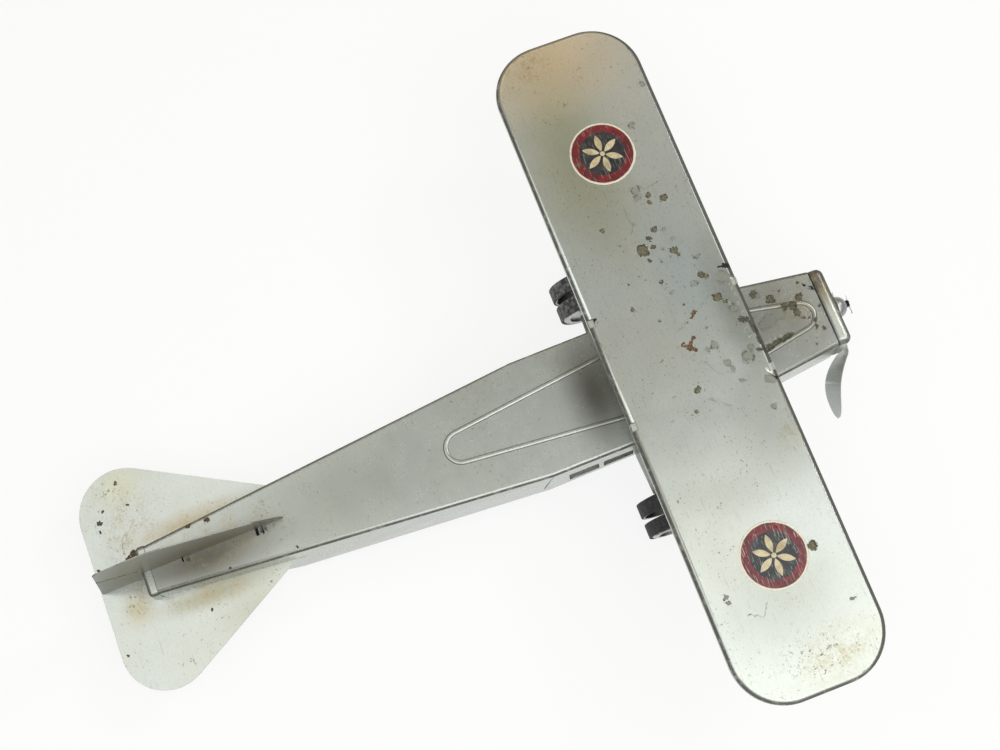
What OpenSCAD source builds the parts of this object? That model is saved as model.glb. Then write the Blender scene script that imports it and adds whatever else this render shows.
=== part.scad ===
// Pressed steel toy airplane, a high-wing monoplane on two twin wheels and a tail skid.
// The nose points along -Y, port is +X and the floor is z = 0.
// Heights and lengths of the airframe are written from the middle of the wing's chord.

/* [Sheet] */
// Thickness of the pressed sheet
sheet = 1; // [0.8:0.1:1.3]
// Clearance between two nested sheets
nest_gap = 0.1; // [0.05:0.05:0.2]

/* [Wing] */
// Wingspan from tip to tip
span = 584; // [480:2:680]
// Chord of the wing
chord = 128.4; // [118:0.2:140]
// Radius of the wing's round corners in plan
wing_corner = 44; // [30:1:56]
// Height of the wing's top face over the floor
wing_top = 155; // [145:0.5:165]
// Outer radius of the turned-down wing edge
wing_roll = 4.5; // [3:0.5:6]
// Depth of the turned-down wing edge
wing_lip = 8; // [7:0.5:11]

/* [Fuselage] */
// Height of the deck under the middle of the wing
deck_height = 116.6; // [110:0.2:120]
// Slope of the deck behind the wing, in degrees
deck_slope = 5.72; // [4:0.01:6.5]
// Slope of the hood down to the nose, in degrees
hood_slope = 1.68; // [0:0.01:4]
// Distance from mid chord forward to the open nose end
nose_length = 133; // [115:1:150]
// Distance from mid chord back to the bend where the body starts to taper
bend_y = 131; // [100:1:150]
// Distance from mid chord back to the heel where the bottom starts to rise
heel_y = 352; // [320:1:380]
// Distance from mid chord back to the open tail end
tail_y = 470; // [450:1:490]
// Half width of the deck at the nose end
nose_half = 34.6; // [31:0.1:38]
// Half width of the deck along the cabin
cabin_half = 52; // [49:0.5:56]
// Half width of the deck at the tail end
tail_half = 21.4; // [18:0.1:25]
// Depth of the side walls along the cabin and the rear body
wall_depth = 58; // [52:0.5:62]
// Depth of the side walls at the nose end
nose_depth = 40.5; // [38:0.5:44]
// Depth of the side walls at the tail end
tail_depth = 27; // [26.5:0.5:32]
// Outward flare of the rear side walls at their bottom edge
rear_flare = 3; // [0:0.5:4]
// Inward tuck of the cabin's side walls at their bottom edge
cabin_tuck = 2; // [0:0.5:3]
// Radius of the folded deck edges
deck_edge = 3; // [2:0.5:4]
// Width of the embossed bead on the deck
bead_width = 3.4; // [2.8:0.1:4]
// Height of the embossed bead
bead_height = 0.9; // [0.6:0.1:1.1]
// Half width of the bead loop under the middle of the wing
bead_half = 34.2; // [30:0.2:37]
// Distance from mid chord back to the rounded rear end of the bead loop
bead_rear = 207; // [180:1:230]
// Distance of the bead loop's front end behind the open nose end
bead_nose_gap = 8.5; // [6:0.5:21]
// Radius of the bead loop's rear end
bead_rear_r = 13.3; // [10:0.1:16]
// Radius of the bead loop's front end
bead_front_r = 12; // [9:0.1:14]

/* [Windows] */
// Number of windows in each side wall
window_count = 4; // [2:1:4]
// Width of one window
window_w = 27; // [20:0.5:28]
// Height of one window
window_h = 25; // [18:0.5:28]
// Width of the pillar between two windows
pillar_w = 4; // [3:0.5:6]
// Distance from the deck down to the top of the windows
window_drop = 23; // [18:0.5:24]
// Distance from the last window back to the bend
window_back = 16; // [12:0.5:22]
// Corner radius of a window
window_r = 2.5; // [1:0.5:4]

/* [Cabin saddle] */
// Half length of the saddle under the wing
saddle_half = 56; // [48:0.5:57]
// Distance from the deck's edge in to the saddle's side
saddle_inset = 3; // [2:0.5:5]
// Width of the feet that are riveted to the deck
saddle_foot = 9; // [8:0.5:10]
// Width of a tab that hooks into the wing's edge
hook_w = 6; // [4:0.5:8]

/* [Nose] */
// Length of the nose cap along the body
nose_cap_length = 13.5; // [11:0.5:16]
// Edge radius of the nose cap
nose_cap_r = 6; // [4:0.5:7]
// Gap between the nose cap and the body
seam_gap = 1; // [0.3:0.1:1.2]
// Drop of the propeller shaft below the deck at the nose
hub_drop = 18.7; // [16:0.1:21]
// Diameter of the propeller shaft
shaft_d = 3.2; // [2.4:0.1:4]
// Radial clearance of the running fits
running_gap = 0.08; // [0.04:0.01:0.1]
// Diameter of the spinner
spinner_d = 18.6; // [16:0.2:22]
// Reach of the propeller blade, measured straight out to its bent tip
blade_reach = 92.5; // [80:0.5:93]
// Greatest width of the blade
blade_w = 16.5; // [14:0.5:19]
// Distance by which the blade's tip is bent back off its own face
blade_bend = 28.5; // [20:0.5:32]
// Pitch of the blade, in degrees
blade_pitch = 28; // [20:1:35]
// Turn of the blade below the horizontal as photographed, in degrees
blade_turn = 34; // [0:1:45]

/* [Tail] */
// Length of the tail cap along the body
tail_cap_length = 8.2; // [7:0.1:10]
// Height of the tail cap's strip over the body's faces
tail_cap_proud = 0.8; // [0.3:0.1:1]
// Drop of the stabilizer's top face below the deck
stab_drop = 21.5; // [20.5:0.1:22]
// Half span of the stabilizer
stab_half = 98; // [85:0.5:110]
// Radius of the stabilizer's round tips
stab_tip_r = 39.6; // [34:0.2:44]
// Distance from mid chord back to the stabilizer's trailing edge
stab_rear = 519.5; // [510:0.5:530]
// Angle between the stabilizer's leading edge and the body, in degrees
stab_angle = 29.2; // [27:0.1:31]
// Height of the fin's crown over the deck
fin_height = 69.5; // [58:0.5:80]
// Distance from mid chord back to the foot of the fin's leading edge
fin_front = 352; // [345:1:362]
// Distance of the fin's front tab behind the front end of the fin
fin_tab_front = 18; // [15:0.5:24]
// Distance of the fin's rear tab behind the front end of the fin
fin_tab_rear = 86; // [70:0.5:88]
// Overhang of the rudder behind the tail cap at the deck's height
rudder_reach = 37; // [34:0.5:40]
// Radius of the fin's crown
crown_r = 54; // [48:1:60]
// Width of the strap that makes the tail skid
skid_w = 10; // [8:0.5:14]
// Thickness of the tail skid's strap
skid_t = 1.6; // [1.2:0.1:2]

/* [Landing gear] */
// Diameter of the wheels over the tyre
wheel_d = 56; // [50:0.5:58]
// Width of one wheel
wheel_w = 13.5; // [12:0.5:15]
// Thickness of the tyre band
tyre_t = 1.8; // [1.4:0.1:2.4]
// Thickness of a wheel's pressed cup
cup_t = 1.2; // [1:0.1:1.4]
// Gap between the two wheels of a twin set
twin_gap = 6; // [4:0.5:8]
// Distance from the body's middle to the middle of a twin set
track_half = 104.5; // [98:0.5:112]
// Distance from mid chord back to the axle
axle_y = 37; // [30:1:44]
// Diameter of the axle
axle_d = 4.8; // [4:0.1:5.4]
// Thickness of the strap that makes a strut
strut_t = 2; // [1.6:0.1:2.4]
// Width of a strut at its foot on the belly
strut_foot_w = 26; // [22:0.5:32]
// Radius of a strut's eye round the axle
eye_r = 9; // [7:0.5:10]
// Thickness of the washers beside the wheels
washer_t = 1.5; // [1:0.1:2]
// End play of each wheel on the axle
end_play = 0.3; // [0.2:0.05:0.4]

/* [Hidden] */
$fn = 96;
fold_fn = 32;
far = 600;
bead_front = nose_length - bead_nose_gap;
eps = 0.02;

// The nose and the knot in front of it reach furthest forward, the stabilizer furthest back
cap_front = -nose_length - nose_cap_length;
prop_washer_t = 1.8;
hub_t = 1.2;
hub_front = cap_front - prop_washer_t - hub_t;
spinner_r = spinner_d / 2;
wire_d = 0.9;
shaft_tip = hub_front - spinner_r - 2;
front_end = shaft_tip - wire_d;
middle_y = (front_end + stab_rear) / 2;

// Body lines: deck height, half width and depth along y
function mix(a, b, t) = a + (b - a) * t;
function deck(y) = y > 0 ? deck_height - y * tan(deck_slope) : deck_height + y * tan(hood_slope);
function half(y) = y < 0 ? mix(nose_half, cabin_half, (y + nose_length) / nose_length)
    : y < bend_y ? cabin_half
    : mix(cabin_half, tail_half, (y - bend_y) / (tail_y - bend_y));
function depth(y) = y < 0 ? mix(nose_depth, wall_depth, (y + nose_length) / nose_length)
    : y < heel_y ? wall_depth
    : mix(wall_depth, tail_depth, (y - heel_y) / (tail_y - heel_y));
function flare(y) = y <= 0 ? -cabin_tuck * (y + nose_length) / nose_length
    : y < bend_y ? -cabin_tuck * (1 - y / bend_y)
    : y < heel_y ? rear_flare * (y - bend_y) / (heel_y - bend_y)
    : mix(rear_flare, 0, (y - heel_y) / (tail_y - heel_y));
function bottom(y) = deck(y) - depth(y);
function belly(y) = bottom(y) + sheet;
stations = [-nose_length, 0, bend_y, heel_y, tail_y];

// Wheels, axle and struts
axle_z = wheel_d / 2;
inner_face = track_half - twin_gap / 2 - wheel_w;
outer_face = track_half + twin_gap / 2 + wheel_w;
eye_outer = inner_face - end_play - washer_t - end_play;
axle_half = outer_face + end_play + washer_t + 3;
rim_r = wheel_d / 2 - tyre_t;
boss_r = 4.6;
dish = 2.2;
shoulder = 3.5;
boss_back = wheel_w - 0.6;
belly_over_axle = (belly(axle_y) - axle_z) * cos(deck_slope);
rivet_d = 3;
rivet_head = 6;
rivet_cap = 1.1;
gear_rivet_x = 30;
gear_rivet_y = 6.5;
skid_rivet_y = heel_y + 0.62 * (tail_y - heel_y);

// Propeller shaft
hub_z = deck(-nose_length) - hub_drop;
bush_r = 4;
bush_back = cap_front + sheet + 10;
hub_r = spinner_r + 1.6;
collar_r = 5.5;

// Stabilizer outline
stab_tip_x = stab_half - stab_tip_r;
stab_tip_y = stab_rear - stab_tip_r;
stab_touch_x = stab_tip_x + stab_tip_r * cos(stab_angle);
stab_touch_y = stab_tip_y - stab_tip_r * sin(stab_angle);
stab_root_x = half(heel_y) - 3;
stab_root_y = stab_touch_y - (stab_touch_x - stab_root_x) / tan(stab_angle);
function stab_top(y) = deck(y) - stab_drop;
cap_end = tail_y + tail_cap_length;

// Moves a piece from airframe lengths to the part's own origin, under the middle of its bounds
module placed() {
    translate([0, -middle_y, 0]) children();
}

// A strip of the given thickness along a line of 2-D points, with mitred corners
function unit(v) = v / norm(v);
function left(v) = [-v[1], v[0]];
function mitre(p, i) =
    let (a = i == 0 ? undef : left(unit(p[i] - p[i - 1])),
        b = i == len(p) - 1 ? undef : left(unit(p[i + 1] - p[i])))
    a == undef ? b : b == undef ? a : (a + b) / (1 + a * b);
function strip(p, t) = concat(
    [for (i = [0:len(p) - 1]) p[i] + mitre(p, i) * t / 2],
    [for (i = [len(p) - 1:-1:0]) p[i] - mitre(p, i) * t / 2]);

// Points of an arc about c, from angle a0 to a1 in n steps
function arc(c, r, a0, a1, n) = [for (i = [0:n]) c + r * [cos(mix(a0, a1, i / n)), sin(mix(a0, a1, i / n))]];

// A square with round corners, centred
module rounded(w, h, r) {
    square([w - 2 * r, h], center = true);
    square([w, h - 2 * r], center = true);
    for (x = [-1, 1])
        for (y = [-1, 1])
            translate([x * (w / 2 - r), y * (h / 2 - r)]) circle(r, $fn = 32);
}

// Turns an outline in (y, z) into a solid across x, w wide and centred
module across(w) {
    rotate([90, 0, 90]) translate([0, 0, -w / 2]) linear_extrude(w) children();
}

// Tapered body form, folded at the deck's edges; inset moves the faces in, drop lowers the open bottom
module body_form(inset, drop, ends) {
    hull()
        for (y = stations) {
            grow = y == -nose_length ? -ends : y == tail_y ? ends : 0;
            foot = half(y) + flare(y) * (depth(y) + drop) / depth(y) - inset;
            for (side = [-1, 1]) {
                translate([side * (half(y) - deck_edge), y + grow, deck(y) - deck_edge])
                    rotate([90, 0, 0]) cylinder(r = deck_edge - inset, h = eps, center = true, $fn = fold_fn);
                translate([side * (foot - 0.25), y + grow, bottom(y) - drop + 0.25])
                    cube([0.5, eps, 0.5], center = true);
            }
        }
}

// Half of the bead loop on one plane: two straight runs that meet a round end tangentially
module bead_half_loop(reach, end_r, w, height) {
    run = reach - end_r;
    lean = acos(end_r / norm([bead_half, run])) - atan2(run, bead_half);
    near = end_r - w / 2;
    wide = end_r + w / 2;
    near_x = (near + run * sin(lean)) / cos(lean);
    wide_x = (wide + run * sin(lean)) / cos(lean);
    linear_extrude(height)
        polygon(concat([[near_x, 0], [wide_x, 0]], arc([0, run], wide, lean, 180 - lean, 28),
            [[-wide_x, 0], [-near_x, 0]], arc([0, run], near, 180 - lean, lean, 28)));
}

// The whole bead loop from depth sink up to height top, standing on the deck's two planes
module bead_loop(w, sink, top) {
    translate([0, 0, deck_height - sink]) {
        rotate([-deck_slope, 0, 0]) bead_half_loop(bead_rear, bead_rear_r, w, sink + top);
        rotate([-hood_slope, 0, 180]) mirror([1, 0, 0])
            bead_half_loop(bead_front, bead_front_r, w, sink + top);
    }
}

module windows() {
    for (side = [-1, 1])
        for (i = [0:window_count - 1]) {
            y = bend_y - window_back - window_w / 2 - i * (window_w + pillar_w);
            translate([side * cabin_half, y, deck(max(y, 0)) - window_drop - window_h / 2])
                rotate([-deck_slope, 0, 0]) across(16) rounded(window_w, window_h, window_r);
        }
}

// Slits that let the side walls fold at the rear bend
module relief_slits() {
    slit_w = 1.2;
    slit_depth = 44;
    for (side = [-1, 1])
        translate([side * cabin_half, bend_y, deck(bend_y) - deck_edge])
            rotate([8, 0, 0]) translate([0, 0, -slit_depth / 2])
                cube([12, slit_w, slit_depth], center = true);
}

// Side slots that the stabilizer is pushed into from behind
module stabilizer_slot() {
    translate([0, stab_root_y - 0.6, stab_top(stab_root_y - 0.6) - sheet - nest_gap])
        rotate([-deck_slope, 0, 0])
            translate([-far / 2, 0, 0]) cube([far, far, sheet + 2 * nest_gap]);
}

// Slots of the fin's two clinched tabs
fin_tabs = [fin_front + fin_tab_front, fin_front + fin_tab_rear];
fin_tab_w = 9;
module fin_tab_slots(extra) {
    for (y = fin_tabs)
        translate([0, y, deck(y)])
            cube([sheet + 2 * extra, fin_tab_w + 2 * extra, 2 * stab_drop + 8], center = true);
}

// Tabs that fold in under the belly plate
tab_rows = [-95, -30, 84, 160, 240, 320];
module belly_tabs(side) {
    tab_w = 10;
    tab_reach = 5;
    for (y = tab_rows) {
        foot = half(y) + flare(y) - sheet / 2;
        translate([side * (foot - tab_reach / 2), y, bottom(y)])
            rotate([-atan((bottom(y - 1) - bottom(y + 1)) / 2), 0, 0])
                translate([0, 0, sheet / 2]) cube([tab_reach, tab_w, sheet], center = true);
    }
}

// Slits to starboard of the fin's tabs, and two punched holes in the hood
tab_slits = [[fin_tabs[0] + 1.2, 7, 1.4], [fin_tabs[0] + 6.2, 6.6, 2.6], [fin_tabs[1] + 4.2, 4, 1.4]];
hood_holes = [[20.3, 3, 3.4], [24.2, 7, 2]];
module deck_cuts() {
    for (s = tab_slits)
        translate([-s[1] / 2, s[0], deck(s[0])]) cube([s[1], s[2], 8], center = true);
    for (h = hood_holes)
        translate([h[0], h[1] - nose_length, deck(h[1] - nose_length)])
            cylinder(d = h[2], h = 8, center = true, $fn = 48);
}

// The folded sheet is made as a deck with its rolled edges and two sides, parted below the rolled edge
part_depth = deck_edge + 0.5;

module body_deck() placed() color("gainsboro")
    difference() {
        union() {
            intersection() {
                body_form(0, 0, 0);
                above_deck(-part_depth, far);
            }
            bead_loop(bead_width, sheet / 2, bead_height / 2);
            bead_loop(bead_width - 1.2, sheet / 2, bead_height);
        }
        body_form(sheet, 8, 3);
        bead_loop(bead_width - 2, 1.5 * sheet, bead_height - sheet);
        fin_tab_slots(nest_gap);
        saddle_rivet_holes();
        deck_cuts();
        relief_slits();
    }

module body_side(side) {
    difference() {
        intersection() {
            body_form(0, 0, 0);
            translate([side * far / 2, 0, 0]) cube([far, 4 * far, far], center = true);
        }
        body_form(sheet, 8, 3);
        above_deck(-part_depth, far);
        windows();
        relief_slits();
        stabilizer_slot();
    }
    belly_tabs(side);
}

module body_side_port() placed() color("gainsboro") body_side(1);
module body_side_starboard() placed() color("gainsboro") body_side(-1);

// Side view of the bottom sheet, one sheet thick above the folded tabs
module belly_profile(y0, y1) {
    inner = [for (y = stations) if (y > y0 && y < y1) [y, belly(y)]];
    line = concat([[y0, belly(y0)]], inner, [[y1, belly(y1)]]);
    polygon(concat(line, [for (i = [len(line) - 1:-1:0]) line[i] + [0, sheet]]));
}

module belly_plate() placed() color("silver")
    difference() {
        intersection() {
            body_form(sheet + nest_gap, 8, 3);
            across(far) belly_profile(-nose_length + 0.4, tail_y - 0.4);
        }
        gear_rivet_holes();
        skid_rivet_hole();
        belly_opening();
    }

// Long opening in the bottom sheet between the struts and the heel, with a rim along both walls
module belly_opening() {
    rim = 5.5;
    rear = heel_y - 20;
    front = axle_y + 24;
    linear_extrude(deck_height)
        polygon([[cabin_half - rim, front], [cabin_half - rim, bend_y], [half(rear) - rim, rear],
            [rim - half(rear), rear], [rim - cabin_half, bend_y], [rim - cabin_half, front]]);
}

// Saddle outline in plan, a share of the body's own taper
module saddle_plan(inset) {
    front = half(-saddle_half) - saddle_inset - inset;
    middle = cabin_half - saddle_inset - inset;
    y = saddle_half - inset;
    polygon([[-front, -y], [front, -y], [middle, 0], [middle, y], [-middle, y], [-middle, 0]]);
}

// Everything above the deck's two planes, raised by lift, up to height top
module above_deck(lift, top) {
    across(far)
        polygon([[-far, deck(-far) + lift], [0, deck(0) + lift], [far, deck(far) + lift],
            [far, top], [-far, top]]);
}

saddle_top = wing_top - sheet;
bead_clear = 0.4;
hook_x = [half(-saddle_half) - saddle_inset, cabin_half - saddle_inset];
saddle_rivet_y = [-40, -14, 16, 42];
function saddle_rivet_x(y) = half(y) - saddle_inset - sheet - saddle_foot / 2;

// A tab reaches out under the wing and turns up through a notch in the wing's edge
module saddle_hooks() {
    for (side = [-1, 1])
        for (end = [-1, 1]) {
            x = side * (end < 0 ? hook_x[0] : hook_x[1]) - side * hook_w / 2;
            translate([x, 0, 0]) across(hook_w)
                polygon(strip([[end * (saddle_half - 2), saddle_top - sheet / 2],
                    [end * (chord / 2 - sheet), saddle_top - sheet / 2],
                    [end * (chord / 2 - sheet), wing_top - 0.1]], sheet));
        }
}

module saddle_windshield() {
    pane_w = 30;
    pane_h = 20;
    for (side = [-1, 1])
        translate([side * (pane_w / 2 + 2), -saddle_half, (saddle_top + deck(-saddle_half)) / 2 + 2])
            rotate([90, 0, 0]) linear_extrude(8, center = true) rounded(pane_w, pane_h, 3);
}

module cabin_saddle() placed() color("gainsboro") {
    difference() {
        union() {
            difference() {
                intersection() {
                    linear_extrude(saddle_top) saddle_plan(0);
                    above_deck(0, saddle_top);
                }
                linear_extrude(saddle_top - sheet) saddle_plan(sheet);
            }
            intersection() {
                linear_extrude(saddle_top) difference() {
                    saddle_plan(sheet / 2);
                    saddle_plan(sheet + saddle_foot);
                }
                difference() {
                    above_deck(0, saddle_top);
                    above_deck(sheet, saddle_top + 1);
                }
            }
        }
        saddle_windshield();
        saddle_rivet_holes();
        bead_loop(bead_width + 2 * bead_clear, 3, bead_height + bead_clear);
    }
    saddle_hooks();
}

module at_saddle_rivets() {
    for (side = [-1, 1])
        for (y = saddle_rivet_y)
            translate([side * saddle_rivet_x(y), y, deck(y)])
                rotate([y > 0 ? -deck_slope : hood_slope, 0, 0]) children();
}

module saddle_rivet_holes() {
    at_saddle_rivets() cylinder(d = rivet_d, h = 6 * sheet, center = true);
}

// A rivet along z through a grip between two heights
module rivet(low, high) {
    translate([0, 0, low]) cylinder(d = rivet_d, h = high - low);
    translate([0, 0, high]) cylinder(d = rivet_head, h = rivet_cap);
    translate([0, 0, low - rivet_cap]) cylinder(d = rivet_head - 1, h = rivet_cap);
}

module saddle_rivets() placed() color("silver")
    at_saddle_rivets() rivet(-sheet, sheet);

// Nose cap: a stamped pan, built standing on its seam with the front face up
module pan_edge_section() {
    translate([0, nose_cap_length - seam_gap - nose_cap_r]) difference() {
        intersection() {
            circle(nose_cap_r);
            square(nose_cap_r);
        }
        circle(nose_cap_r - sheet);
    }
    translate([nose_cap_r - sheet, 0]) square([sheet, nose_cap_length - seam_gap - nose_cap_r]);
}

module pan() {
    run_x = nose_half - nose_cap_r;
    run_y = nose_depth / 2 - nose_cap_r;
    translate([0, 0, nose_cap_length - seam_gap - sheet / 2])
        cube([2 * run_x, 2 * run_y, sheet], center = true);
    for (x = [0, 1])
        for (y = [0, 1])
            mirror([x, 0, 0]) mirror([0, y, 0])
                translate([run_x, run_y, 0]) rotate_extrude(angle = 90) pan_edge_section();
    for (side = [0, 1]) {
        mirror([0, side, 0]) translate([-run_x, run_y, 0])
            rotate([90, 0, 90]) linear_extrude(2 * run_x) pan_edge_section();
        mirror([side, 0, 0]) translate([run_x, run_y, 0])
            rotate([90, 0, 0]) linear_extrude(2 * run_y) pan_edge_section();
    }
}

// A collar behind the pan is joggled in so that it slides inside the body
module pan_collar() {
    side_inset = sheet + nest_gap;
    low_inset = 2 * sheet + 2 * nest_gap;
    w = 2 * nose_half - 2 * side_inset;
    h = nose_depth - side_inset - low_inset;
    r = nose_cap_r - side_inset;
    lift = (low_inset - side_inset) / 2;
    reach = 7;
    difference() {
        union() {
            translate([0, lift, -reach]) linear_extrude(reach + sheet) rounded(w, h, r);
            linear_extrude(sheet)
                rounded(2 * nose_half - sheet, nose_depth - sheet, nose_cap_r - sheet / 2);
        }
        translate([0, lift, -reach - 1]) linear_extrude(reach + sheet + 2)
            rounded(w - 2 * sheet, h - 2 * sheet, r - sheet);
    }
}

module nose_cap() placed() color("gainsboro")
    difference() {
        translate([0, -nose_length - seam_gap, deck(-nose_length) - nose_depth / 2])
            rotate([90, 0, 0]) {
                pan();
                pan_collar();
            }
        along_shaft(cap_front - 1, cap_front + 4) circle(shaft_d / 2 + running_gap);
    }

// Turns an outline round the propeller shaft into a solid from y0 to y1
module along_shaft(y0, y1) {
    translate([0, y0, hub_z]) rotate([-90, 0, 0]) linear_extrude(y1 - y0) children();
}

module nose_bush() placed() color("goldenrod")
    difference() {
        union() {
            along_shaft(cap_front + sheet, bush_back) circle(bush_r);
            along_shaft(cap_front + sheet, cap_front + sheet + 1.5) circle(bush_r + 3);
        }
        along_shaft(cap_front, bush_back + 1) circle(shaft_d / 2 + running_gap);
    }

// Tail cap: a strip that carries the body's section on past its end, above the stabilizer
module tail_form(inset, front, back) {
    r = 2.5;
    hull()
        for (side = [-1, 1]) {
            translate([side * (tail_half - deck_edge), front, deck(front) - deck_edge])
                rotate([90, 0, 0]) cylinder(r = deck_edge - inset, h = eps, center = true, $fn = fold_fn);
            translate([side * (tail_half - deck_edge), back - deck_edge, deck(back - deck_edge) - deck_edge])
                sphere(deck_edge - inset, $fn = fold_fn);
            translate([side * (tail_half - r), front, bottom(tail_y)])
                cylinder(r = r - inset, h = 1, $fn = fold_fn);
            translate([side * (tail_half - r), back - r, bottom(tail_y)])
                cylinder(r = r - inset, h = 1, $fn = fold_fn);
        }
}

module above_stabilizer() {
    across(far)
        polygon([[0, stab_top(0)], [far * 2, stab_top(far * 2)], [far * 2, far], [0, far]]);
}

// The strip stands proud of the body and is joggled in to a collar that plugs its end
module tail_cap() placed() color("gainsboro") {
    front = tail_y + 0.2;
    back = cap_end - tail_cap_proud;
    intersection() {
        above_stabilizer();
        difference() {
            union() {
                intersection() {
                    tail_form(-tail_cap_proud, front, back);
                    translate([-far / 2, front, 0]) cube([far, far, far]);
                }
                intersection() {
                    tail_form(sheet + nest_gap, tail_y - 10, back);
                    translate([-far / 2, tail_y - 7, 0]) cube([far, 7 + sheet, far]);
                }
            }
            intersection() {
                tail_form(sheet - tail_cap_proud, tail_y - 10, back);
                translate([-far / 2, front + sheet, 0]) cube([far, far, far]);
            }
            tail_form(2 * sheet + nest_gap, tail_y - 20, back);
        }
    }
}

// Wing edge in section: a strip that laps the flat field, a quarter round, then a straight lip
module wing_edge_section() {
    translate([-edge_lap, -sheet]) square([edge_lap, sheet]);
    difference() {
        translate([0, -wing_roll]) intersection() {
            circle(wing_roll);
            square(wing_roll);
        }
        translate([0, -wing_roll]) circle(wing_roll - sheet);
    }
    translate([wing_roll - sheet, -wing_lip]) square([sheet, wing_lip - wing_roll]);
}

edge_lap = 1;
module wing_panel() placed() color("gainsboro") {
    run_x = span / 2 - wing_corner;
    run_y = chord / 2 - wing_corner;
    difference() {
        translate([0, 0, wing_top]) {
            translate([0, 0, -sheet]) linear_extrude(sheet) wing_field();
            for (x = [0, 1])
                for (y = [0, 1])
                    mirror([x, 0, 0]) mirror([0, y, 0])
                        translate([run_x, run_y, 0])
                            rotate_extrude(angle = 90)
                                translate([wing_corner - wing_roll, 0]) wing_edge_section();
            for (side = [0, 1]) {
                mirror([0, side, 0]) translate([-run_x, chord / 2 - wing_roll, 0])
                    rotate([90, 0, 90]) linear_extrude(2 * run_x) wing_edge_section();
                mirror([side, 0, 0]) translate([span / 2 - wing_roll, run_y, 0])
                    rotate([90, 0, 0]) linear_extrude(2 * run_y) wing_edge_section();
            }
        }
        wing_notches();
    }
}

module wing_field() {
    r = wing_corner - wing_roll;
    w = span - 2 * wing_roll;
    h = chord - 2 * wing_roll;
    square([w - 2 * r, h], center = true);
    square([w, h - 2 * r], center = true);
    for (x = [-1, 1])
        for (y = [-1, 1])
            translate([x * (w / 2 - r), y * (h / 2 - r)]) circle(r);
}

module wing_notches() {
    notch_in = wing_roll + 0.8;
    for (side = [-1, 1])
        for (end = [-1, 1]) {
            x = side * (end < 0 ? hook_x[0] : hook_x[1]) - side * hook_w / 2;
            translate([x, end * (chord / 2 - notch_in / 2 + 0.5), saddle_top])
                cube([hook_w + 1, notch_in + 1, 2 * sheet + 4], center = true);
        }
}

module stabilizer() placed() color("gainsboro")
    difference() {
        translate([0, 0, deck_height - stab_drop]) rotate([-deck_slope, 0, 0])
            translate([0, 0, -sheet * cos(deck_slope)]) linear_extrude(sheet * cos(deck_slope))
                stabilizer_plan();
        fin_tab_slots(nest_gap);
    }

// Lengths along the sloped sheet are longer than along the floor
module stabilizer_plan() {
    k = 1 / cos(deck_slope);
    polygon([[-stab_root_x, stab_root_y * k], [stab_root_x, stab_root_y * k],
        [stab_touch_x, stab_touch_y * k], [stab_tip_x, stab_rear * k],
        [-stab_tip_x, stab_rear * k], [-stab_touch_x, stab_touch_y * k]]);
    for (side = [-1, 1])
        translate([side * stab_tip_x, stab_rear * k - stab_tip_r]) circle(stab_tip_r);
}

// Fin outline: a stepped leading edge, a round crown and a raked rear edge down to the stabilizer
module fin_outline() {
    crown = [tail_y - 5, deck(tail_y - 5) + fin_height - crown_r];
    rear_top = [cap_end + rudder_reach - 17, deck(tail_y - 5) + fin_height - 16];
    foot = cap_end + 0.3;
    strap = tail_cap_proud + 0.15;
    step = tail_y - 0.3;
    rear_low = [cap_end + rudder_reach + 3.4, stab_top(cap_end + rudder_reach + 3.4)];
    polygon(concat(
        [[foot, stab_top(foot)], [foot, deck(foot) + strap], [step, deck(step) + strap], [step, deck(step)],
            [fin_front, deck(fin_front)],
            [fin_front + 3, deck(fin_front) + 8], [fin_front + 24, deck(fin_front) + 24]],
        arc(crown, crown_r, 108, 68, 10),
        arc(rear_top, 9, 62, -4, 8),
        [rear_low]));
}

module rudder_slit() {
    slit_w = 1.1;
    from = [cap_end + 0.5, deck(cap_end) + 15];
    to = [cap_end + rudder_reach + 6, deck(cap_end) + 31];
    across(4 * sheet) polygon(strip([from, to], slit_w));
}

module fin_rudder() placed() color("gainsboro") {
    difference() {
        across(sheet) fin_outline();
        rudder_slit();
    }
    for (y = fin_tabs)
        across(sheet)
            polygon([[y - fin_tab_w / 2, deck(y) + 1], [y + fin_tab_w / 2, deck(y) + 1],
                [y + fin_tab_w / 2, stab_top(y) - sheet - 1.2],
                [y - fin_tab_w / 2, stab_top(y) - sheet - 1.2]]);
}

// Tail skid: a strap riveted under the belly, bent down to a turned-up foot on the floor
module tail_skid() placed() color("silver") {
    t = skid_t;
    pad = 9;
    y0 = skid_rivet_y;
    seat = t / 2 / cos(belly_rise) + 0.03;
    difference() {
        across(skid_w)
            polygon(strip([[y0 - pad, belly(y0 - pad) - seat], [y0 + pad, belly(y0 + pad) - seat],
                [y0 + pad + 12, 6 + t / 2], [y0 + pad + 15, 1.5 + t / 2], [y0 + pad + 20, t / 2],
                [y0 + pad + 28, t / 2], [y0 + pad + 33, 3 + t / 2]], t));
        skid_rivet_hole();
    }
}

belly_rise = atan((bottom(tail_y) - bottom(heel_y)) / (tail_y - heel_y));
module at_skid_rivet() {
    translate([0, skid_rivet_y, belly(skid_rivet_y)]) rotate([belly_rise, 0, 0]) children();
}
module skid_rivet_hole() {
    at_skid_rivet() cylinder(d = rivet_d, h = 8, center = true);
}
module skid_rivet() placed() color("silver")
    at_skid_rivet() mirror([0, 0, 1]) rivet(-sheet * cos(belly_rise), skid_t + 0.05);

// Places a piece in the belly's own slope, with its origin at the axle's middle
module at_axle() {
    translate([0, axle_y, axle_z]) children();
}
module on_belly_slope() {
    at_axle() rotate([-deck_slope, 0, 0]) children();
}

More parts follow.
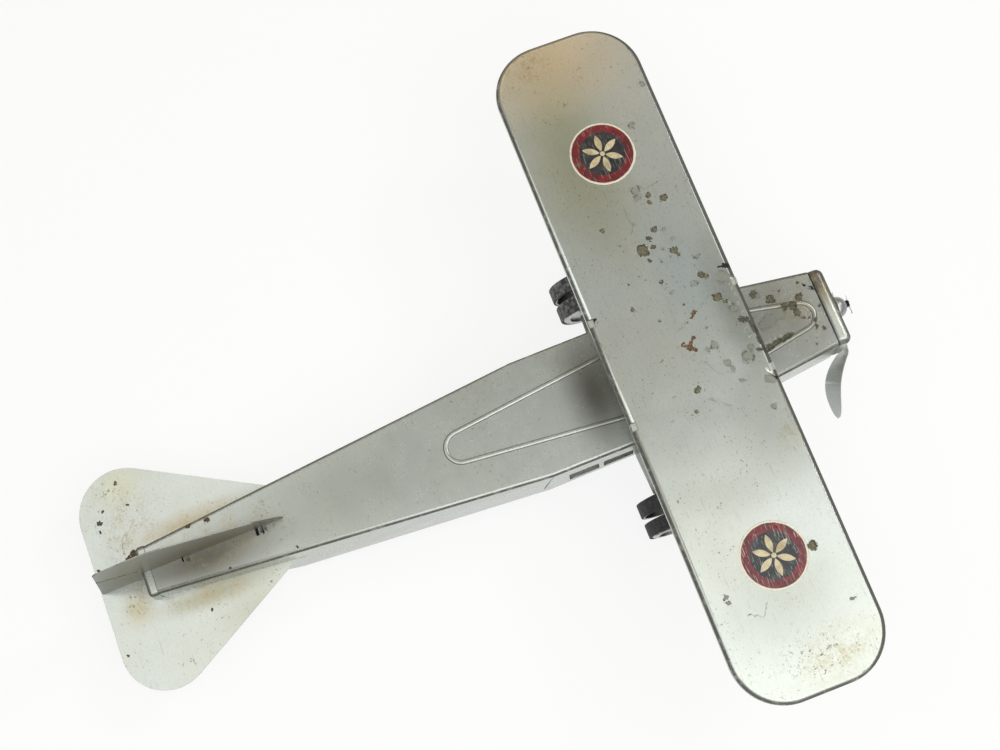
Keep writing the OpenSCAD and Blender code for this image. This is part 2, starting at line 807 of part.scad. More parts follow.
// One strut: a pad under the belly, a splayed leg and an upright eye round the axle
module strut() {
    t = strut_t;
    eye_top = 10;
    difference() {
        intersection() {
            rotate([90, 0, 0]) translate([0, 0, -strut_foot_w / 2]) linear_extrude(strut_foot_w)
                polygon(strip([[gear_rivet_x - 7, belly_over_axle - t / 2], [42, belly_over_axle - t / 2],
                    [eye_outer - t / 2, eye_top], [eye_outer - t / 2, -eye_r]], t));
            translate([far / 2, 0, 0]) across(far) {
                circle(eye_r);
                polygon([[-eye_r, 0], [eye_r, 0], [strut_foot_w / 2, belly_over_axle - 5],
                    [strut_foot_w / 2, belly_over_axle + 1], [-strut_foot_w / 2, belly_over_axle + 1],
                    [-strut_foot_w / 2, belly_over_axle - 5]]);
            }
        }
        rotate([0, 90, 0]) cylinder(d = axle_d, h = far);
        gear_rivet_bores();
    }
}

module strut_port() placed() color("silver") on_belly_slope() strut();
module strut_starboard() placed() color("silver") on_belly_slope() mirror([1, 0, 0]) strut();

module at_gear_rivets() {
    for (y = [-1, 1])
        translate([gear_rivet_x, y * gear_rivet_y, belly_over_axle]) children();
}
module gear_rivet_bores() {
    at_gear_rivets() cylinder(d = rivet_d, h = 10, center = true);
}
module gear_rivet_holes() {
    on_belly_slope()
        for (side = [0, 1]) mirror([side, 0, 0]) gear_rivet_bores();
}
module gear_rivets() placed() color("silver")
    on_belly_slope()
        for (side = [0, 1])
            mirror([side, 0, 0]) at_gear_rivets() mirror([0, 0, 1]) rivet(-sheet * cos(deck_slope), strut_t);

module axle() placed() color("slategray")
    at_axle() rotate([0, 90, 0]) cylinder(d = axle_d, h = 2 * axle_half, center = true);

// A ring or disc round the axle's line, on the port side, from x0 to x1
module round_axle(x0, x1, r_out, r_in) {
    at_axle() translate([x0, 0, 0]) rotate([0, 90, 0])
        difference() {
            cylinder(r = r_out, h = x1 - x0);
            translate([0, 0, -1]) cylinder(r = r_in, h = x1 - x0 + 2);
        }
}

module starboard() {
    mirror([1, 0, 0]) children();
}

// Push-on cap: a washer face with a closed dome over the axle's end
module axle_cap() {
    x0 = outer_face + end_play;
    difference() {
        at_axle() translate([x0, 0, 0]) rotate([0, 90, 0])
            rotate_extrude()
                union() {
                    square([axle_d / 2 + 3, washer_t]);
                    intersection() {
                        translate([0, washer_t + 3 - axle_d / 2 + 1]) circle(axle_d / 2 + 1);
                        square([axle_d, washer_t + 3 + 3]);
                    }
                    square([axle_d / 2 + 1, washer_t + 2]);
                }
        at_axle() translate([x0 - 1, 0, 0]) rotate([0, 90, 0])
            cylinder(d = axle_d, h = axle_half - x0 + 1);
    }
}
module axle_cap_port() placed() color("silver") axle_cap();
module axle_cap_starboard() placed() color("silver") starboard() axle_cap();

module washer() {
    round_axle(inner_face - end_play - washer_t, inner_face - end_play, axle_d / 2 + 3, axle_d / 2);
}
module washer_port() placed() color("silver") washer();
module washer_starboard() placed() color("silver") starboard() washer();

// Sleeve that keeps the two bosses of a twin set apart
module spacer() {
    inner_boss = inner_face + boss_back;
    outer_boss = outer_face - boss_back;
    round_axle(inner_boss + end_play, outer_boss - end_play, boss_r - 0.6, axle_d / 2);
}
module spacer_port() placed() color("silver") spacer();
module spacer_starboard() placed() color("silver") starboard() spacer();

// Half section of a cup with one rounded corner at its closed side
module cup_section(r, h, corner) {
    square([r - corner, h]);
    translate([0, corner]) square([r, h - corner]);
    translate([r - corner, corner]) circle(corner, $fn = 64);
}

// One wheel half: tread wall, round shoulder, dished web and boss, closed side at x = 0
module wheel_cup() {
    web_r = rim_r - shoulder - 3;
    rotate([0, 90, 0])
        rotate_extrude(convexity = 6)
            difference() {
                union() {
                    difference() {
                        cup_section(rim_r, wheel_w, shoulder);
                        translate([0, cup_t]) cup_section(rim_r - cup_t, wheel_w, shoulder - cup_t);
                        square([2 * web_r, 4 * cup_t], center = true);
                    }
                    translate([web_r, 0]) square([cup_t, dish + cup_t]);
                    translate([0, dish]) square([web_r + cup_t, cup_t]);
                    translate([0, dish]) square([boss_r, boss_back - dish]);
                }
                translate([0, -1]) square([axle_d / 2 + running_gap, wheel_w + 2]);
            }
}

module tyre_band() {
    edge = 0.7;
    band_w = wheel_w - 0.9;
    rotate([0, 90, 0])
        rotate_extrude()
            translate([rim_r, shoulder - 2.6]) {
                square([tyre_t - edge, band_w]);
                translate([0, edge]) square([tyre_t, band_w - 2 * edge]);
                for (y = [edge, band_w - edge])
                    translate([tyre_t - edge, y]) circle(edge, $fn = 32);
            }
}

// The inner wheel's closed side faces the body, the outer wheel's faces away from it
module inner_wheel_place() {
    at_axle() translate([inner_face, 0, 0]) children();
}
module outer_wheel_place() {
    at_axle() translate([outer_face, 0, 0]) mirror([1, 0, 0]) children();
}
module wheel_port_outer() placed() color("silver") outer_wheel_place() wheel_cup();
module wheel_port_inner() placed() color("silver") inner_wheel_place() wheel_cup();
module wheel_starboard_inner() placed() color("silver") starboard() inner_wheel_place() wheel_cup();
module wheel_starboard_outer() placed() color("silver") starboard() outer_wheel_place() wheel_cup();
module tyre_port_outer() placed() color("dimgray") outer_wheel_place() tyre_band();
module tyre_port_inner() placed() color("dimgray") inner_wheel_place() tyre_band();
module tyre_starboard_inner() placed() color("dimgray") starboard() inner_wheel_place() tyre_band();
module tyre_starboard_outer() placed() color("dimgray") starboard() outer_wheel_place() tyre_band();

module prop_washer() placed() color("silver")
    difference() {
        along_shaft(cap_front - prop_washer_t, cap_front - 0.1) circle(collar_r);
        along_shaft(cap_front - 3, cap_front + 1) circle(shaft_d / 2);
    }

// Blade: a leaf outline cut from a sheet that bends back off its own face at the neck
neck_r = 39.6;
neck_half = 2.6;
blade_start = spinner_r + 0.5;
function bend_line(s) = [mix(neck_r, blade_reach, s), blade_bend * (1 - pow(1 - s, 4))];
function leaf(s) = neck_half * (1 - s) + (blade_w / 2 - neck_half / 2) * sqrt(sin(180 * s));
module blade_sheet(t, offset) {
    steps = 14;
    line = concat([[blade_start, 0]], [for (i = [0:steps]) bend_line(i / steps)]);
    moved = [for (i = [0:len(line) - 1]) line[i] + mitre(line, i) * offset];
    translate([0, 0, -blade_w]) linear_extrude(2 * blade_w) polygon(strip(moved, t));
}
module blade_leaf() {
    steps = 24;
    s = [for (i = [0:steps]) i / steps];
    rotate([90, 0, 0]) translate([0, 0, -far / 2]) linear_extrude(far)
        polygon(concat([[blade_start, neck_half]], [for (a = s) [mix(neck_r, blade_reach, a), leaf(a)]],
            [for (i = [steps - 1:-1:0]) [mix(neck_r, blade_reach, s[i]), -leaf(s[i])]],
            [[blade_start, -neck_half]]));
}

module blade() {
    rotate([-blade_pitch, 0, 0]) {
        intersection() {
            blade_sheet(sheet, 0);
            blade_leaf();
        }
        intersection() {
            blade_sheet(sheet, -sheet * 0.7);
            translate([blade_start, -far / 2, -0.9]) cube([blade_reach - 10 - blade_start, far, 1.8]);
        }
    }
}

// The opposite blade is broken off: only a short stub is left on the hub
module broken_stub() {
    stub_r = hub_r + 3;
    rotate([-blade_pitch, 0, 0])
        linear_extrude(2 * neck_half, center = true)
            polygon([[blade_start, -sheet / 2], [stub_r, -sheet / 2], [stub_r - 1, sheet / 2],
                [blade_start, sheet / 2]]);
}

module propeller() placed() color("silver")
    difference() {
        translate([0, hub_front + hub_t / 2, hub_z]) rotate([0, 180 - blade_turn, 0]) {
            rotate([90, 0, 0]) cylinder(r = hub_r, h = hub_t, center = true);
            blade();
            mirror([1, 0, 0]) mirror([0, 0, 1]) broken_stub();
        }
        along_shaft(hub_front - 4, cap_front + 4) circle(shaft_d / 2);
    }

module spinner() placed() color("lavender")
    difference() {
        intersection() {
            translate([0, hub_front, hub_z]) sphere(spinner_r);
            along_shaft(hub_front - spinner_r - 1, hub_front) circle(spinner_r + 1);
        }
        translate([0, hub_front, hub_z]) sphere(spinner_r - sheet);
        along_shaft(hub_front - spinner_r - 1, hub_front) circle(shaft_d / 2);
    }

module prop_shaft() placed() color("slategray") {
    along_shaft(shaft_tip, bush_back + 0.2) circle(shaft_d / 2);
    along_shaft(bush_back + 0.2, bush_back + 1.8) circle(shaft_d / 2 + 2);
}

// Twisted wire round the shaft's tip, with four loose ends
module wire_knot() placed() color("black") {
    ring_r = shaft_d / 2 + wire_d / 2;
    for (i = [0, 1])
        translate([0, hub_front - spinner_r - 0.72 - i * 0.92, hub_z]) rotate([90 + 4 * i, 3 * i, 0])
            rotate_extrude() translate([ring_r, 0]) circle(d = wire_d, $fn = 24);
    for (a = [20, 75, 140, 250])
        translate([0, shaft_tip + 1.2, hub_z]) rotate([25, a, 0]) translate([0, 0, ring_r])
            cylinder(d = wire_d * 0.7, h = 2.2, $fn = 24);
}

body_deck();
body_side_port();
body_side_starboard();
belly_plate();
cabin_saddle();
saddle_rivets();
nose_cap();
nose_bush();
tail_cap();
wing_panel();
stabilizer();
fin_rudder();
tail_skid();
skid_rivet();
strut_port();
strut_starboard();
gear_rivets();
axle();
axle_cap_port();
axle_cap_starboard();
washer_port();
washer_starboard();
spacer_port();
spacer_starboard();
wheel_port_outer();
wheel_port_inner();
wheel_starboard_inner();
wheel_starboard_outer();
tyre_port_outer();
tyre_port_inner();
tyre_starboard_inner();
tyre_starboard_outer();
prop_washer();
propeller();
spinner();
prop_shaft();
wire_knot();
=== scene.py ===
"""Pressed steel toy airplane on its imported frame: finishes, roundels, wire knot, studio and camera."""
import math
import random

import bmesh
import bpy
from bpy.props import FloatProperty, FloatVectorProperty, IntProperty, PointerProperty
from mathutils import Matrix, Vector


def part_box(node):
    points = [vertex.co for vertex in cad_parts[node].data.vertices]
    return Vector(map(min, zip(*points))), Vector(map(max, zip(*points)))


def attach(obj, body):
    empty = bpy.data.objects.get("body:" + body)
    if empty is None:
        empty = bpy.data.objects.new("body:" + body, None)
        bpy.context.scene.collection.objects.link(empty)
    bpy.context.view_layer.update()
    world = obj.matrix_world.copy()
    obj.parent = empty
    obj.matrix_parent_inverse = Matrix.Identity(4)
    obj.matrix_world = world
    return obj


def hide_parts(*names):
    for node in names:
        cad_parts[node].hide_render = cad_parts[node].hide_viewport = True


bl_info = {
    "name": "Pressed steel toy airplane",
    "version": (1, 0, 0),
    "blender": (4, 5, 0),
    "location": "3D View > Sidebar > Toy airplane",
    "description": "Dresses the packed toy airplane and sets up a plain studio round it",
    "category": "Add Mesh",
}

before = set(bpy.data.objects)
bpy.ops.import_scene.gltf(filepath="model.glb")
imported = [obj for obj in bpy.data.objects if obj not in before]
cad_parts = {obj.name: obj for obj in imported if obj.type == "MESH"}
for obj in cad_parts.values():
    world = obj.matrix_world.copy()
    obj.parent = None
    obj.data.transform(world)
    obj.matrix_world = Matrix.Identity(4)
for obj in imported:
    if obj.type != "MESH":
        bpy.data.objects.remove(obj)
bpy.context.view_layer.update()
MM = 0.001


def linear(code):
    """A colour written as sRGB hex, as linear red, green and blue."""
    parts = [int(code[i:i + 2], 16) / 255 for i in (1, 3, 5)]
    return [v / 12.92 if v <= 0.04045 else ((v + 0.055) / 1.055) ** 2.4 for v in parts]


def colour(code):
    """A colour written as sRGB hex, as a colour socket takes it."""
    return (*linear(code), 1.0)


def put(tree, kind, values=None, **settings):
    """Adds a node, sets it up and links or fills its inputs."""
    node = tree.nodes.new(kind)
    for key, value in settings.items():
        setattr(node, key, value)
    for key, value in (values or {}).items():
        socket = node.inputs[key]
        if isinstance(value, bpy.types.NodeSocket):
            tree.links.new(value, socket)
        else:
            socket.default_value = value
    return node


def middle(node):
    """Middle of a CAD node's box."""
    low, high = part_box(node)
    return (low + high) / 2


# Places that the rest is measured from, in mm
MID_CHORD = middle("wing_panel").y / MM
WING_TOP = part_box("wing_panel")[1].z / MM
HUB = middle("spinner") / MM


def new_material(name):
    """A material with no nodes, and its tree."""
    material = bpy.data.materials.new(name)
    material.use_nodes = True
    material.node_tree.nodes.clear()
    return material, material.node_tree


def finish_surface(tree, base, metal, matte, height, depth):
    """Ends a material with its surface, whose height is a bump of the given depth."""
    surface = put(tree, "ShaderNodeBsdfPrincipled",
                  {"Base Color": base, "Metallic": metal, "Roughness": matte})
    bump = put(tree, "ShaderNodeBump", {"Strength": 1.0, "Distance": depth, "Height": height})
    tree.links.new(bump.outputs[0], surface.inputs["Normal"])
    put(tree, "ShaderNodeOutputMaterial", {"Surface": surface.outputs[0]})


def math_node(tree, operation, *values):
    """One sum on numbers or sockets."""
    return put(tree, "ShaderNodeMath", dict(enumerate(values)), operation=operation).outputs[0]


def most(tree, *values):
    """The largest of the values."""
    top = values[0]
    for value in values[1:]:
        top = math_node(tree, "MAXIMUM", top, value)
    return top


def times(tree, *values):
    """The product of the values."""
    result = values[0]
    for value in values[1:]:
        result = math_node(tree, "MULTIPLY", result, value)
    return result


def ramp(tree, value, low, high, smooth=True):
    """0 below low and 1 above high; low may be the larger one."""
    kind = "SMOOTHSTEP" if smooth else "LINEAR"
    return put(tree, "ShaderNodeMapRange", {"Value": value, "From Min": low, "From Max": high},
               interpolation_type=kind).outputs[0]


def blend(tree, amount, first, second):
    """Mixes two colours or colour sockets."""
    node = put(tree, "ShaderNodeMix", {0: amount, 6: first, 7: second}, data_type="RGBA")
    return node.outputs[2]


def grain(tree, where, size, detail=2.0, roughness=0.5):
    """Noise with features of about the given size in metres."""
    return put(tree, "ShaderNodeTexNoise", {"Vector": where, "Scale": 1 / size, "Detail": detail,
                                            "Roughness": roughness}).outputs["Fac"]


def bell(tree, here, centre, reach):
    """1 at the centre, falling to 0 at the reach on each axis, all in mm."""
    offset = put(tree, "ShaderNodeVectorMath", {0: here, 1: centre}, operation="SUBTRACT").outputs[0]
    scaled = put(tree, "ShaderNodeVectorMath", {0: offset, 1: [1 / r for r in reach]},
                 operation="MULTIPLY").outputs[0]
    length = put(tree, "ShaderNodeVectorMath", {0: scaled}, operation="LENGTH").outputs["Value"]
    return ramp(tree, length, 1.0, 0.0)


# What breaks up the outline of a mark: size of the wobble, how far it reaches in mm, and how many radii the
# crumbs take off or add
WOBBLE = 3.6 * MM
WOBBLE_REACH = 8.0
CRUMBLE = 1.3


def ragged(tree, where, here, flat):
    """The surface's own place in mm, shaken by a few mm so that round spots get ragged outlines."""
    wild = put(tree, "ShaderNodeTexNoise", {"Vector": where, "Scale": 1 / WOBBLE, "Detail": 5.0,
                                            "Roughness": 0.62}).outputs["Color"]
    drift = put(tree, "ShaderNodeVectorMath", {0: wild, 1: (0.5, 0.5, 0.5)}, operation="SUBTRACT")
    drift = put(tree, "ShaderNodeVectorMath", {0: drift.outputs[0], "Scale": WOBBLE_REACH}, operation="SCALE")
    moved = put(tree, "ShaderNodeVectorMath", {0: here, 1: drift.outputs[0]}, operation="ADD")
    return put(tree, "ShaderNodeVectorMath", {0: moved.outputs[0], 1: flat}, operation="MULTIPLY").outputs[0]


def from_stroke(tree, moved, start, end):
    """Distance to a straight stroke between two places."""
    run = [b - a for a, b in zip(start, end)]
    size = sum(v * v for v in run)
    offset = put(tree, "ShaderNodeVectorMath", {0: moved, 1: start}, operation="SUBTRACT").outputs[0]
    share = put(tree, "ShaderNodeVectorMath", {0: offset, 1: [v / size for v in run]},
                operation="DOT_PRODUCT").outputs["Value"]
    share = math_node(tree, "MAXIMUM", math_node(tree, "MINIMUM", share, 1.0), 0.0)
    along = put(tree, "ShaderNodeVectorMath", {0: run, "Scale": share}, operation="SCALE").outputs[0]
    return put(tree, "ShaderNodeVectorMath", {0: offset, 1: along}, operation="DISTANCE").outputs["Value"]


def spots(tree, moved, crumbs, places, flat):
    """Distance in radii to the nearest of the listed spots or strokes, with crumbs broken off the outline."""
    lowest = None
    for place in places:
        ends = [[v * f for v, f in zip(place[k:k + 3], flat)] for k in range(0, len(place) - 1, 3)]
        if len(ends) == 1:
            far = put(tree, "ShaderNodeVectorMath", {0: moved, 1: ends[0]},
                      operation="DISTANCE").outputs["Value"]
        else:
            far = from_stroke(tree, moved, *ends)
        far = math_node(tree, "DIVIDE", far, place[-1])
        lowest = far if lowest is None else math_node(tree, "MINIMUM", lowest, far)
    return math_node(tree, "MULTIPLY_ADD", math_node(tree, "SUBTRACT", crumbs, 0.5), CRUMBLE, lowest)


def specks(tree, where, cell, largest, rarity):
    """Scattered dots of uneven size: 1 in a dot."""
    cells = put(tree, "ShaderNodeTexVoronoi", {"Vector": where, "Scale": 1 / cell, "Randomness": 1.0})
    red = put(tree, "ShaderNodeSeparateColor", {0: cells.outputs["Color"]}).outputs[0]
    size = times(tree, math_node(tree, "POWER", red, rarity), largest / cell)
    gap = math_node(tree, "SUBTRACT", size, cells.outputs["Distance"])
    return ramp(tree, gap, 0.0, 0.06)


def scratches(tree, where, angle, length, width, least):
    """Short thin lines that run mostly one way."""
    turned = put(tree, "ShaderNodeMapping", {"Vector": where, "Rotation": (0, 0, math.radians(angle)),
                                             "Scale": (1 / length, 1 / width, 1 / width)}).outputs[0]
    line = put(tree, "ShaderNodeTexNoise", {"Vector": turned, "Scale": 1.0, "Detail": 1.0}).outputs["Fac"]
    return ramp(tree, line, least, least + 0.05)


# How each kind of mark looks: light and dark inner colours, opacity inside, rim colour, opacity of the rim
MARKS = {
    "khaki": ("#777052", "#453F2B", 0.95, "#262014", 0.95),
    "dark": ("#4E4936", "#2B261A", 0.92, "#201B12", 0.8),
    "ruddy": ("#79572F", "#3A2814", 0.97, "#2A1C0E", 0.85),
    "ghost": ("#7D7E74", "#6A6B60", 0.75, "#3E3E35", 0.85),
    "bare": ("#80827A", "#6C6E66", 0.8, "#55574F", 0.5),
    "olive": ("#625F47", "#26240F", 0.9, "#211F10", 0.6),
    # painted shade: near black where the sheet is torn open
    "painted_hole_shade": ("#050505", "#0B0A08", 1.0, "#1C1A16", 0.8),
    # painted highlight: a white glint on a curled edge
    "painted_highlight": ("#FFFFFA", "#F0F0EA", 0.9, "#5A5A52", 0.3),
    "hair": ("#5A574B", "#3A372D", 0.7, "#6E6C62", 0.2),
}
# Marks more opaque than this stand up from the sheet as crusts
CRUST = 0.8


# Sizes that the patterns of the lacquer are drawn at; the flake a little coarser than real, so that it shows
DRIFT = 85 * MM
MOTTLE = 14 * MM
FLAKE = 1.5 * MM
WAVES = 60 * MM
# Patches that break up the painted fold shade
FOLD_SHADE_PATCHES = 9 * MM
DUST_GRAINS = 2.6 * MM
DUST_CLOUDS = 12 * MM
CHIP_PATCHES = 42 * MM
CHIPS = 4.6 * MM
PINPRICKS = 1.9 * MM
SCRATCH_WIDTH = 0.7 * MM
CRUMBS = 1.7 * MM
FRECKLES = 3.6 * MM
RIM_BREAKS = 4.2 * MM
LACQUER_RELIEF = 1.0 * MM


def shaded_folds(tree, where, fold_shade_amount, nose_shade_amount):
    """How strongly painted shade darkens, in patches, the faces where the sheet turns over and edges facing
    the nose.
    """
    normal = put(tree, "ShaderNodeTexCoord").outputs["Normal"]
    facing = put(tree, "ShaderNodeSeparateXYZ", {0: normal}).outputs
    fold_shade = times(tree, ramp(tree, facing[2], 0.95, 0.78), ramp(tree, facing[2], 0.12, 0.34))
    fold_patches = ramp(tree, grain(tree, where, FOLD_SHADE_PATCHES, 5.0, 0.7), 0.28, 0.5)
    fold_shade = times(tree, fold_shade, fold_patches, fold_shade_amount)
    if nose_shade_amount:
        # Painted shade on edges that face the nose, dimming their highlight
        front = times(tree, ramp(tree, facing[1], -0.1, -0.28), ramp(tree, facing[2], 0.0, 0.3), nose_shade_amount)
        fold_shade = most(tree, fold_shade, front)
    return fold_shade


def aluminium_lacquered_steel(piece, marks=None, flat=(1, 1, 0), rust=(), grime=(), tints_and_painted_light=(), tone_and_shade=1.0,
                              chipping=1.0, roughness=0.3, fold_shade_amount=0.85, nose_shade_amount=0.0, shine=0.6,
                              prints=None):
    """Pressed steel under sprayed aluminium lacquer: a pale grey with a faint green cast, broad soft gloss.

    marks holds lists of spots (x, y, z, radius) and strokes (x, y, z, x, y, z, radius) by kind, in mm, and
    flat is 0 on the axis they reach through. rust, grime and tints are soft regions, each a centre and a
    reach in mm, of rust freckles, brown dust and another colour, the last with that colour and its share;
    some tints are painted shade or painted reflection. A tone below 1 darkens all of it, which on the fin is
    painted shade. chipping is the share of chips, the fold and nose amounts how strongly painted shade
    darkens the faces where the sheet turns over and the edges that face the nose, and shine how metallic
    the lacquer looks. prints adds a printed layer on top.
    """
    material, tree = new_material("aluminium lacquered steel " + piece)
    where = put(tree, "ShaderNodeTexCoord").outputs["Object"]
    here = put(tree, "ShaderNodeVectorMath", {0: where, "Scale": 1 / MM}, operation="SCALE").outputs[0]
    # The lacquer drifts between a cool and a greenish grey over a hand's breadth
    drift = ramp(tree, grain(tree, where, DRIFT, 2.0), 0.35, 0.65)
    base = blend(tree, drift, colour("#C8CDC9"), colour("#C6C9C1"))
    # Regions of another colour; some of them are painted shade or painted reflection
    for centre, reach, hue, share in tints_and_painted_light:
        soft = bell(tree, here, centre, reach)
        base = blend(tree, times(tree, soft, share), base, colour(hue))
    # A lower tone darkens all of it; on the fin this is painted shade
    if tone_and_shade != 1.0:
        base = blend(tree, 1.0 - tone_and_shade, base, colour("#30302C"))
    mottle = grain(tree, where, MOTTLE, 5.0, 0.62)
    base = blend(tree, times(tree, ramp(tree, mottle, 0.3, 0.8), 0.03), base, colour("#A3A498"))
    flake = grain(tree, where, FLAKE, 3.0, 0.7)
    base = blend(tree, times(tree, ramp(tree, flake, 0.46, 0.72), 0.2), base, colour("#8A8C84"))

    # Painted shade darkens the faces where the sheet turns over and the edges that face the nose
    fold_shade = shaded_folds(tree, where, fold_shade_amount, nose_shade_amount)
    base = blend(tree, fold_shade, base, colour("#3E3E39"))

    # Brown dust in soft regions, in fine grains
    dirt = None
    for centre, reach in grime:
        soft = bell(tree, here, centre, reach)
        dirt = soft if dirt is None else most(tree, dirt, soft)
    if dirt is not None:
        fine = ramp(tree, grain(tree, where, DUST_GRAINS, 6.0, 0.75), 0.4, 0.62)
        broad = ramp(tree, grain(tree, where, DUST_CLOUDS, 3.0), 0.3, 0.65)
        base = blend(tree, times(tree, dirt, fine, broad, 0.8), base, colour("#A2946C"))

    # Small dark chips and pinpricks, and thin scratches both ways
    patches = ramp(tree, grain(tree, where, CHIP_PATCHES, 3.0), 0.36, 0.6)
    coarse = ramp(tree, grain(tree, where, CHIPS, 4.0, 0.72), 0.65, 0.685)
    fine = ramp(tree, grain(tree, where, PINPRICKS, 2.0, 0.6), 0.66, 0.72)
    chips = times(tree, most(tree, coarse, fine),
                  math_node(tree, "MULTIPLY_ADD", patches, 0.7, 0.3), chipping)
    base = blend(tree, times(tree, chips, 0.75), base, colour("#505147"))
    lines = most(tree, scratches(tree, where, 38, 22 * MM, SCRATCH_WIDTH, 0.725),
                 scratches(tree, where, -52, 17 * MM, SCRATCH_WIDTH, 0.73))
    base = blend(tree, times(tree, lines, 0.4), base, colour("#66685E"))

    # The painted fold shade also takes off metal and adds roughness; then rust freckles in soft regions
    wear_and_shade = times(tree, fold_shade, 0.8)
    crumbs = grain(tree, where, CRUMBS, 4.0, 0.68)
    freckle = ramp(tree, grain(tree, where, FRECKLES, 6.0, 0.7), 0.57, 0.66)
    crust = None
    for centre, reach in rust:
        soft = bell(tree, here, centre, reach)
        soft = times(tree, ramp(tree, soft, 0.0, 0.7), freckle, 0.6)
        crust = soft if crust is None else most(tree, crust, soft)
    if crust is not None:
        base = blend(tree, crust, base, blend(tree, crumbs, colour("#4A432F"), colour("#8B8160")))
        wear_and_shade = most(tree, wear_and_shade, crust)

    # Crusts, stains and bare places of their own
    if marks:
        moved = ragged(tree, where, here, flat)
        broken = ramp(tree, grain(tree, where, RIM_BREAKS, 2.0), 0.38, 0.56)
        grit = ramp(tree, crumbs, 0.36, 0.62)
        for kind, places in marks.items():
            light, dark, inner, rim_hue, rim_share = MARKS[kind]
            far = spots(tree, moved, crumbs, places, flat)
            inside = ramp(tree, far, 1.02, 0.9)
            rim = times(tree, ramp(tree, far, 0.6, 0.86), ramp(tree, far, 1.1, 0.98), broken)
            base = blend(tree, times(tree, inside, inner), base,
                         blend(tree, times(tree, grit, inside), colour(dark), colour(light)))
            base = blend(tree, times(tree, rim, rim_share), base, colour(rim_hue))
            strong = times(tree, most(tree, inside, rim), inner)
            wear_and_shade = most(tree, wear_and_shade, strong)
            if inner > CRUST:
                crust = strong if crust is None else most(tree, crust, strong)

    metal = ramp(tree, wear_and_shade, 0.75, 0.1)
    matte = math_node(tree, "MULTIPLY_ADD", ramp(tree, wear_and_shade, 0.05, 0.5), 0.45, roughness)
    matte = math_node(tree, "MULTIPLY_ADD", ramp(tree, mottle, 0.35, 0.7), 0.03, matte)
    waves = times(tree, grain(tree, where, WAVES, 1.0), 0.6)
    relief = math_node(tree, "MULTIPLY_ADD", flake, 0.012, waves)
    if crust is not None:
        relief = math_node(tree, "MULTIPLY_ADD", times(tree, crust, crumbs), 0.22, relief)
    if prints is not None:
        base, metal, matte, relief = prints(tree, where, base, metal, matte, relief)
    finish_surface(tree, base, times(tree, metal, shine), matte, relief, LACQUER_RELIEF)
    return material


# The printed roundel: its centre ahead of mid chord in mm, and parts of it as shares of its radius
ROUNDEL_AHEAD = 2.1
PETALS = 6
PETAL_MIDDLE, PETAL_HALF, PETAL_FAT = 0.36, 0.27, 0.1
HUB_DOT = 0.075
DOTS = 24
DOT_CIRCLE = 0.82
DOT_RIM, DOT_CORE = 0.035, 0.02
RING_FROM = 0.70
RIM_FROM = 0.945
PRINT_BLUR = 0.25 * MM


